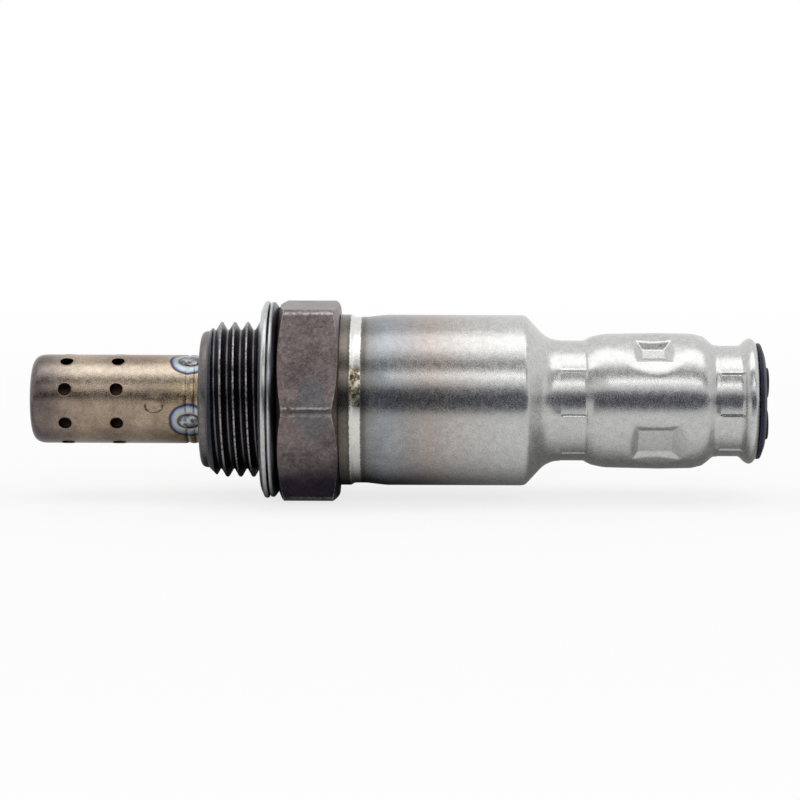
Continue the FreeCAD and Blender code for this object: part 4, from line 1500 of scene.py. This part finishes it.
@dataclass(frozen=True)
class Pocket:
    """One pocket pressed into the cover's bulge."""

    elevation: float
    centre: float = 45.0
    floor_radius: float = 6.85
    half_length: float = 1.25
    half_width: float = 0.8
    front_slope: float = 52.0
    rear_slope: float = 57.0
    side_slope: float = 63.0
    upper_slope: float = 63.0
    edge_blend: float = 0.14
    bowl_height: float = 7.42
    bowl_length_radius: float = 17.8
    bowl_width_radius: float = 14.0
    bowl_blend: float = 0.12
    half_arc: float = 50.0
    rounds: int = 6

    def wall(self, offset: Grid, half: float, slope: float) -> Grid:
        """The height of a straight wall that leaves the floor at half, slope degrees off the radial."""
        return self.floor_radius + np.maximum(offset - half, 0.0) / math.tan(math.radians(slope))

    def press(self, x: Grid, radius: Grid, angles: Grid) -> Grid:
        """Presses the pocket into the cover.

        Args:
            x: The stations.
            radius: The cover's radius over stations and columns.
            angles: The columns' elevations.

        Returns:
            The radius with the pocket in it.
        """
        turn = wrapped(angles - math.radians(self.elevation))
        offset = x - self.centre
        front = self.wall(-offset, self.half_length, self.front_slope)
        along = np.maximum(front, self.wall(offset, self.half_length, self.rear_slope))
        sag = offset**2 / (2 * self.bowl_length_radius)
        facing = np.abs(turn) < math.radians(self.half_arc)
        lean = np.maximum(np.cos(turn), 0.5)
        ray = radius
        for _ in range(self.rounds):
            across = ray * np.sin(turn)
            bowl = self.bowl_height + sag - across**2 / (2 * self.bowl_width_radius)
            upper = self.wall(across, self.half_width, self.upper_slope)
            lower = self.wall(-across, self.half_width, self.side_slope)
            pocket = np.maximum(along, np.maximum(upper, lower))
            dished = soft_least(radius, bowl / lean, self.bowl_blend)
            ray = np.where(facing, soft_least(dished, pocket / lean, self.edge_blend), radius)
        return ray


@dataclass(frozen=True)
class Crimp:
    """The ring of marks that an eight-jaw crimp leaves on a neck of the cover."""

    low: float
    high: float
    phase: float
    jaws: int = 8
    depth: float = 0.055
    ridge_height: float = 0.055
    ridge_half_width: float = 0.12
    smooth_elevation: float = 80.0
    smooth_half_width: float = 0.3
    fold_height: float = 0.07
    fold_half_width: float = 0.62
    fold_reach: float = 1.1
    band_edge: float = 0.05

    def ridges(self) -> list[float]:
        """The ridges' elevations in degrees."""
        return [self.phase + 360 / self.jaws * jaw for jaw in range(self.jaws)]

    def marks(self, x: Grid, radius: Grid, angles: Grid) -> Grid:
        """The band, its ridges and the soft folds at their ends.

        Args:
            x: The stations.
            radius: The cover's radius.
            angles: The columns' elevations.

        Returns:
            What is added to the radius.
        """
        step = 2 * math.pi / self.jaws
        turn = (angles - math.radians(self.phase) + step / 2) % step - step / 2
        across = turn * radius
        smooth = peak(wrapped(angles - math.radians(self.smooth_elevation)), self.smooth_half_width)
        ridge = peak(across, self.ridge_half_width) * (1.0 - 0.9 * smooth)
        band = soft_window(x, self.low, self.high, self.band_edge)
        outside = np.maximum(np.maximum(self.low - x, x - self.high), 0.0)
        fold = peak(across, self.fold_half_width) * peak(outside, self.fold_reach)
        pressed = band * (self.ridge_height * ridge - self.depth * (1 - ridge))
        return pressed + (1 - band) * fold * self.fold_height * (outside > 0)


@dataclass
class DressedCover:
    """Drawn cover: sleeve with its weld groove, shoulder, crimped necks, bulge with pockets, flared lip."""

    wall: float = 0.5
    sleeve_radius: float = 9.87
    groove_radius: float = 9.61
    front_crimp_radius: float = 7.01
    rear_crimp_radius: float = 6.46
    lip_radius: float = 6.6
    flare_radius: float = 7.55
    sleeve_length: float = 21.26
    groove_front: float = 1.2
    groove_floor: tuple[float, float] = (1.65, 3.0)
    groove_back: float = 5.25
    groove_zone: tuple[float, float] = (1.1, 1.8)
    shoulder_angle: float = 47.0
    front_neck: float = 4.1
    bulge: tuple[tuple[float, float, float], ...] = (
        (5.1, 7.46, 1.0),
        (6.5, 7.74, 2.5),
        (12.85, 7.87, 18.0),
        (16.6, 7.79, 1.6),
        (17.95, 7.46, 1.0),
    )
    rear_neck: tuple[float, float] = (19.05, 22.05)
    flare: float = 23.4
    lip: float = 24.05
    fine_zones: tuple[tuple[float, float], ...] = ((30.0, 31.4), (42.0, 48.2))
    lip_zone: float = 56.0
    pocket_arc: float = 19.0
    ridge_arc: float = 2.5
    inner_rows: int = 90
    bulge_low: float = 40.0
    bulge_high: float = 50.5
    pockets: tuple[Pocket, ...] = (
        Pocket(57.5),
        Pocket(147.5),
        Pocket(-122.5),
        Pocket(
            -34.3,
            centre=45.2,
            floor_radius=7.00,
            half_length=1.90,
            half_width=1.60,
            front_slope=56.0,
            side_slope=62.0,
            upper_slope=71.0,
            rear_slope=68.0,
            edge_blend=0.10,
            bowl_height=7.44,
        ),
    )
    crimps: tuple[Crimp, ...] = (
        Crimp(low=34.45, high=37.35, phase=36.3),
        Crimp(low=52.65, high=55.55, phase=36.0),
    )

    def outline(self, start: float) -> list[tuple]:
        """The outer profile, from the hexagon to the lip.

        Args:
            start: Where the cover starts.

        Returns:
            Its points, as (x, radius[, corner radius]).
        """
        shoulder = start + self.sleeve_length
        drop = self.sleeve_radius - self.front_crimp_radius
        foot = shoulder + drop / math.tan(math.radians(self.shoulder_angle))
        return [
            (start, self.sleeve_radius),
            (start + self.groove_front, self.sleeve_radius, 0.45),
            (start + self.groove_floor[0], self.groove_radius, 0.45),
            (start + self.groove_floor[1], self.groove_radius, 2.25),
            (start + self.groove_back, self.sleeve_radius, 4.5),
            (shoulder, self.sleeve_radius, 1.0),
            (foot, self.front_crimp_radius, 3.0),
            (foot + self.front_neck, self.front_crimp_radius, 0.4),
            *((foot + x, radius, corner) for x, radius, corner in self.bulge),
            *((foot + x, self.rear_crimp_radius, 0.5) for x in self.rear_neck),
            (foot + self.flare, self.flare_radius, 0.75),
            (foot + self.lip, self.lip_radius),
        ]

    def build(self) -> bpy.types.Object:
        """Makes the cover's mesh.

        Returns:
            The object.
        """
        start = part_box("cover")[0].x / MM
        outline = self.outline(start)
        profile = rounded(outline, steps=8)[:, :, 0]
        end = outline[-1][0]
        zones = [(crimp.low - 0.2, crimp.high + 0.2) for crimp in self.crimps]
        zones += [tuple(start + x for x in self.groove_zone), *self.fine_zones, (self.lip_zone, end)]
        stations = graded(start, end, coarse=0.6, fine=0.12, zones=zones)
        turns = [(pocket.elevation % 360, self.pocket_arc) for pocket in self.pockets]
        for crimp in self.crimps:
            turns += [(turn % 360, self.ridge_arc) for turn in crimp.ridges()]
        arcs = [(turn - half, turn + half) for turn, half in turns]
        angles = np.radians(graded(0.0, 360.0, coarse=2.0, fine=0.9, zones=arcs)[:-1])
        radius = np.interp(stations, profile[:, 0], profile[:, 1])[:, None] * np.ones(len(angles))
        x = stations[:, None]
        for pocket in self.pockets:
            radius = pocket.press(x, radius, angles)
        radius = radius + sum(crimp.marks(x, radius, angles) for crimp in self.crimps)
        outside = np.stack([x * np.ones(len(angles)), radius], axis=1)
        inner = self.inside(profile, len(angles))
        section = np.concatenate([outside, inner])
        return turned_piece("drawn_cover", section, angles)

    def inside(self, profile: Grid, columns: int) -> Grid:
        """The cover's inner skin, from the lip back to the hexagon.

        Args:
            profile: The outer profile.
            columns: How many columns the mesh has.

        Returns:
            The rows of the inner skin, kept inside the pockets' floors.
        """
        slope = np.gradient(profile[:, 1], profile[:, 0] + np.arange(len(profile)) * 1e-6)
        lean = np.arctan(slope)
        x = profile[:, 0] + self.wall * np.sin(lean)
        radius = profile[:, 1] - self.wall * np.cos(lean)
        keep = (x > profile[0, 0]) & (x < profile[-1, 0] - 0.2)
        stations = np.linspace(profile[0, 0], profile[-1, 0], self.inner_rows)[::-1]
        order = np.argsort(x[keep])
        depth = np.interp(stations, x[keep][order], radius[keep][order])
        floor = min(pocket.floor_radius for pocket in self.pockets) - self.wall
        bulge = (stations > self.bulge_low) & (stations < self.bulge_high)
        depth = np.where(bulge, np.minimum(depth, floor), depth)
        return np.stack([stations, depth], axis=1)[:, :, None] * np.ones(columns)


@dataclass
class FoldedGasket:
    """Crush gasket: a strip folded into an S, its front fold pressed to a cone."""

    outer_radius: float = 11.4
    rear_radius: float = 11.3
    thread_clear_radius: float = 9.15
    inner_radius: float = 8.62
    sheet: float = 0.36
    slot: float = 0.14
    front_lobe: float = 0.88
    open_slot: float = 0.18
    cone_length: float = 0.40
    cone_drop: float = 0.95
    bent_length: float = 0.42
    bent_drop: float = 0.8
    open_slot_floor: float = 9.5
    inner_slot_floor: float = 10.8
    columns: int = 240

    def build(self) -> bpy.types.Object:
        """Makes the gasket's mesh.

        Returns:
            The object.
        """
        low, high = (corner.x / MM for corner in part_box("gasket"))
        lobe = low + self.front_lobe
        rear = lobe + self.open_slot
        fold = low + self.sheet
        fold_back = fold + self.slot
        section = rounded(
            [
                (low, self.thread_clear_radius, 0.12),
                (low, self.outer_radius - self.cone_drop, 0.4),
                (low + self.cone_length, self.outer_radius, 0.32),
                (lobe, self.outer_radius, 0.2),
                (lobe, self.open_slot_floor, 0.07),
                (rear, self.open_slot_floor, 0.07),
                (rear, self.rear_radius, 0.2),
                (rear + self.bent_length, self.rear_radius, 0.3),
                (high, self.rear_radius - self.bent_drop, 0.2),
                (high, self.inner_radius, 0.4),
                (fold_back, self.inner_radius, 0.25),
                (fold_back, self.inner_slot_floor, 0.06),
                (fold, self.inner_slot_floor, 0.06),
                (fold, self.thread_clear_radius, 0.1),
            ],
            steps=5,
            loop=True,
        )
        return turned_piece("folded_gasket", section, even_columns(self.columns))


@dataclass
class GrommetFlange:
    """The grommet's rounded flange, which lies on the cover's lip."""

    lip_x: float = 57.13
    radius: float = 6.72
    inner_radius: float = 4.9
    crown_x: float = 57.98
    rim_length: float = 0.42
    rim_width: float = 1.15
    columns: int = 180

    def build(self) -> bpy.types.Object:
        """Makes the flange's mesh.

        Returns:
            The object.
        """
        section = rounded(
            [
                (self.lip_x, self.inner_radius),
                (self.lip_x, self.radius, 0.12),
                (self.lip_x + self.rim_length, self.radius, 0.35),
                (self.crown_x, self.radius - self.rim_width, 0.5),
                (self.crown_x, self.inner_radius),
            ],
            steps=5,
        )
        return turned_piece("grommet_flange", section, even_columns(self.columns))


@dataclass(frozen=True)
class Lamp:
    """A rectangular lamp that faces the sensor, its long side along X.

    Its elevation is in degrees, x in millimetres, distance and size in metres and power in watts.
    """

    name: str
    elevation: float
    distance: float
    size: tuple[float, float]
    power: float
    x: float

    def hang(self) -> None:
        """Hangs the lamp."""
        data = bpy.data.lights.new(self.name, "AREA")
        data.shape = "RECTANGLE"
        data.size, data.size_y = self.size
        data.energy = self.power
        lamp = new_object(self.name, data)
        lean = math.radians(self.elevation)
        lamp.location = Vector((self.x * MM, -math.cos(lean) * self.distance, math.sin(lean) * self.distance))
        lamp.rotation_euler = (math.pi / 2 - lean, 0.0, 0.0)


@dataclass(frozen=True)
class Card:
    """A matt card that stands before the sensor, for its reflections alone.

    It rises between two elevations in degrees and spans X between two places in metres.
    """

    name: str
    rise: tuple[float, float]
    span: tuple[float, float]
    distance: float
    colour: Colour
    steps: int = 8

    def stand(self) -> None:
        """Makes the card's mesh and its material."""
        vertices = []
        for elevation in np.radians(np.linspace(*self.rise, self.steps + 1)):
            y, z = -math.cos(elevation) * self.distance, math.sin(elevation) * self.distance
            vertices += [(x, y, z) for x in self.span]
        faces = [(2 * k, 2 * k + 1, 2 * k + 3, 2 * k + 2) for k in range(self.steps)]
        mesh = bpy.data.meshes.new(self.name)
        mesh.from_pydata(vertices, [], faces)
        card = new_object(self.name, mesh)
        card.visible_camera = False
        card.visible_diffuse = False
        card.visible_shadow = False
        material, graph, shader = new_material(self.name)
        shader.inputs["Roughness"].default_value = 1.0
        shader.inputs["Specular IOR Level"].default_value = 0.0
        weave = graph.noise(graph.coordinates(), 30.0)
        folds = tuple(0.5 * share for share in self.colour)
        graph.feed(shader.inputs["Base Color"], graph.blend(weave * 0.1, self.colour, folds))
        mesh.materials.append(material)
        card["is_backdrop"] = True


@dataclass
class Studio:
    """Camera at the photograph's view, pale floor, softbox overhead, strip light and dark front cards."""

    axis_distance: float = 371.0
    camera_elevation: float = 6.8
    sight_x: float = 21.7
    frame_x: float = 15.93
    lens: float = 144.0
    sensor: float = 36.0
    roll: float = 0.21
    clip_start: float = 0.01
    ambient: float = 0.75
    floor_size: float = 20.0
    floor_colour: Colour = (0.90, 0.90, 0.895)
    fleck_colour: Colour = (0.7, 0.7, 0.7)
    near_white: float = 0.78
    dim_radius: float = 0.03
    white_from: float = 0.30
    mirrored_glow: float = 0.3
    contact_shade: float = 0.65
    shank_shade: float = 0.3
    tip_shade_loss: float = 0.35
    shade_front: tuple[float, float] = (-8.5, -1.0)
    shade_back: tuple[float, float] = (60.0, 25.0)
    shank_front: tuple[float, float] = (-14.0, -4.0)
    shank_back: tuple[float, float] = (28.0, 12.0)
    tip_span: tuple[float, float] = (-8.0, -14.0)
    card_break: float = -0.0135
    card_end: float = 1.2

    def build(self) -> None:
        """Sets up the camera, the world, the lamps, the floor and the cards."""
        self.camera()
        self.world()
        Lamp("softbox", elevation=90.0, distance=0.70, size=(1.1, 0.42), power=1.42, x=self.frame_x).hang()
        Lamp("strip", elevation=39.5, distance=0.60, size=(0.55, 0.035), power=0.22, x=225.0).hang()
        self.floor()
        front, rear = (-self.card_end, self.card_break), (self.card_break, self.card_end)
        whole = (-self.card_end, self.card_end)
        Card("front_card", (-8.6, 23.0), rear, distance=0.075, colour=(0.086, 0.098, 0.128)).stand()
        Card("tube_card", (6.0, 27.0), front, distance=0.075, colour=(0.115, 0.110, 0.105)).stand()
        Card("upper_card", (47.0, 62.0), whole, distance=0.66, colour=(0.35, 0.35, 0.35)).stand()
        bpy.context.scene.view_settings.view_transform = "Standard"

    def camera(self) -> None:
        """Places the camera."""
        data = bpy.data.cameras.new("camera")
        data.lens = self.lens
        data.sensor_width = self.sensor
        data.shift_x = (self.frame_x - self.sight_x) / self.axis_distance * self.lens / self.sensor
        data.clip_start = self.clip_start
        camera = new_object("camera", data)
        lean = math.radians(self.camera_elevation)
        away = Vector((0.0, -math.cos(lean), math.sin(lean))) * self.axis_distance
        turn = Matrix.Rotation(math.pi / 2 - lean, 4, "X") @ Matrix.Rotation(math.radians(self.roll), 4, "Z")
        camera.matrix_world = Matrix.Translation((Vector((self.sight_x, 0, 0)) + away) * MM) @ turn
        bpy.context.scene.camera = camera

    def world(self) -> None:
        """A white surround to the camera and in reflections, and an even soft light from it."""
        world = bpy.data.worlds.new("surround")
        world.use_nodes = True
        bpy.context.scene.world = world
        world.node_tree.nodes.clear()
        graph = Graph(world.node_tree)
        path = graph.add("ShaderNodeLightPath")
        seen = graph.wire(path, "Is Camera Ray").most(graph.wire(path, "Is Glossy Ray"))
        seen = seen.most(graph.wire(path, "Is Transmission Ray"))
        ambient = graph.call("ShaderNodeBackground", {"Color": WHITE, "Strength": self.ambient})
        white = graph.call("ShaderNodeBackground", {"Color": WHITE, "Strength": 1.0})
        light = graph.mix(seen, ambient.outputs[0], white.outputs[0])
        graph.call("ShaderNodeOutputWorld", {"Surface": light})

    def floor(self) -> None:
        """Lays the pale floor under the sensor's lowest point."""
        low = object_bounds()[0].z
        half = self.floor_size / 2
        mesh = bpy.data.meshes.new("floor")
        square = [(-half, -half, low), (half, -half, low), (half, half, low), (-half, half, low)]
        mesh.from_pydata(square, [], [(0, 1, 2, 3)])
        floor = new_object("floor", mesh)
        mesh.materials.append(self.paper())
        floor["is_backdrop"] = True

    def paper(self) -> bpy.types.Material:
        """Builds the floor's paper: near white to the camera, dim and shaded in reflections.

        Returns:
            The material.
        """
        material, graph, shader = new_material("floor_paper")
        shader.inputs["Roughness"].default_value = 0.9
        shader.inputs["Specular IOR Level"].default_value = 0.0
        fibres = graph.noise(graph.coordinates(), 900.0, 3.0)
        paper = graph.blend(fibres * 0.04, self.floor_colour, self.fleck_colour)
        graph.feed(shader.inputs["Base Color"], paper)
        path = graph.add("ShaderNodeLightPath")
        glossy = graph.wire(path, "Is Glossy Ray").most(graph.wire(path, "Is Transmission Ray"))
        x, y = graph.axes(graph.coordinates())[:2]
        away = ((x - self.frame_x) * (x - self.frame_x) + y * y).math("SQRT")
        whiter = away.step(self.dim_radius / MM, self.white_from / MM) * (1.0 - self.near_white)
        share = graph.wire(path, "Is Camera Ray") * (whiter + self.near_white) + glossy * self.mirrored_glow
        glow = graph.call("ShaderNodeEmission", {"Color": WHITE, "Strength": 1.0})
        lit = graph.mix(share, shader.outputs["BSDF"], glow.outputs["Emission"])
        under = graph.call("ShaderNodeEmission", {"Color": BLACK, "Strength": 1.0})
        beneath = y.step(*self.shade_front) * y.step(*self.shade_back)
        under_shank = x.step(*self.shank_back) * x.step(*self.shank_front)
        nearby = under_shank * self.shank_shade + self.contact_shade
        nearby = nearby - x.step(*self.tip_span) * self.tip_shade_loss
        shaded = graph.mix(glossy * beneath * nearby, lit, under.outputs["Emission"])
        graph.feed(graph.kept("OUTPUT_MATERIAL").inputs["Surface"], shaded)
        return material


def corners(bounds: Sequence[Vector]) -> list[list[float]]:
    """A box as plain lists of numbers."""
    return [list(corner) for corner in bounds]


def main() -> None:
    """Builds the dressed sensor, its finishes and the studio."""
    logging.basicConfig(level=logging.INFO, format="%(message)s")
    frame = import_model()
    wardrobe = Wardrobe(frame["record"])
    for name, node in frame["nodes"].items():
        wardrobe.dress_node(name, node)
    Studio().build()
    wardrobe.dress_piece(ProbeTube().build(), "outer_protection_tube")
    wardrobe.dress_piece(ThreadedShell().build(), "housing")
    wardrobe.dress_piece(FoldedGasket().build(), "gasket")
    wardrobe.dress_piece(DressedCover().build(), "cover")
    wardrobe.dress_extra(GrommetFlange().build(), "grommet")


if __name__ == "__main__":
    main()
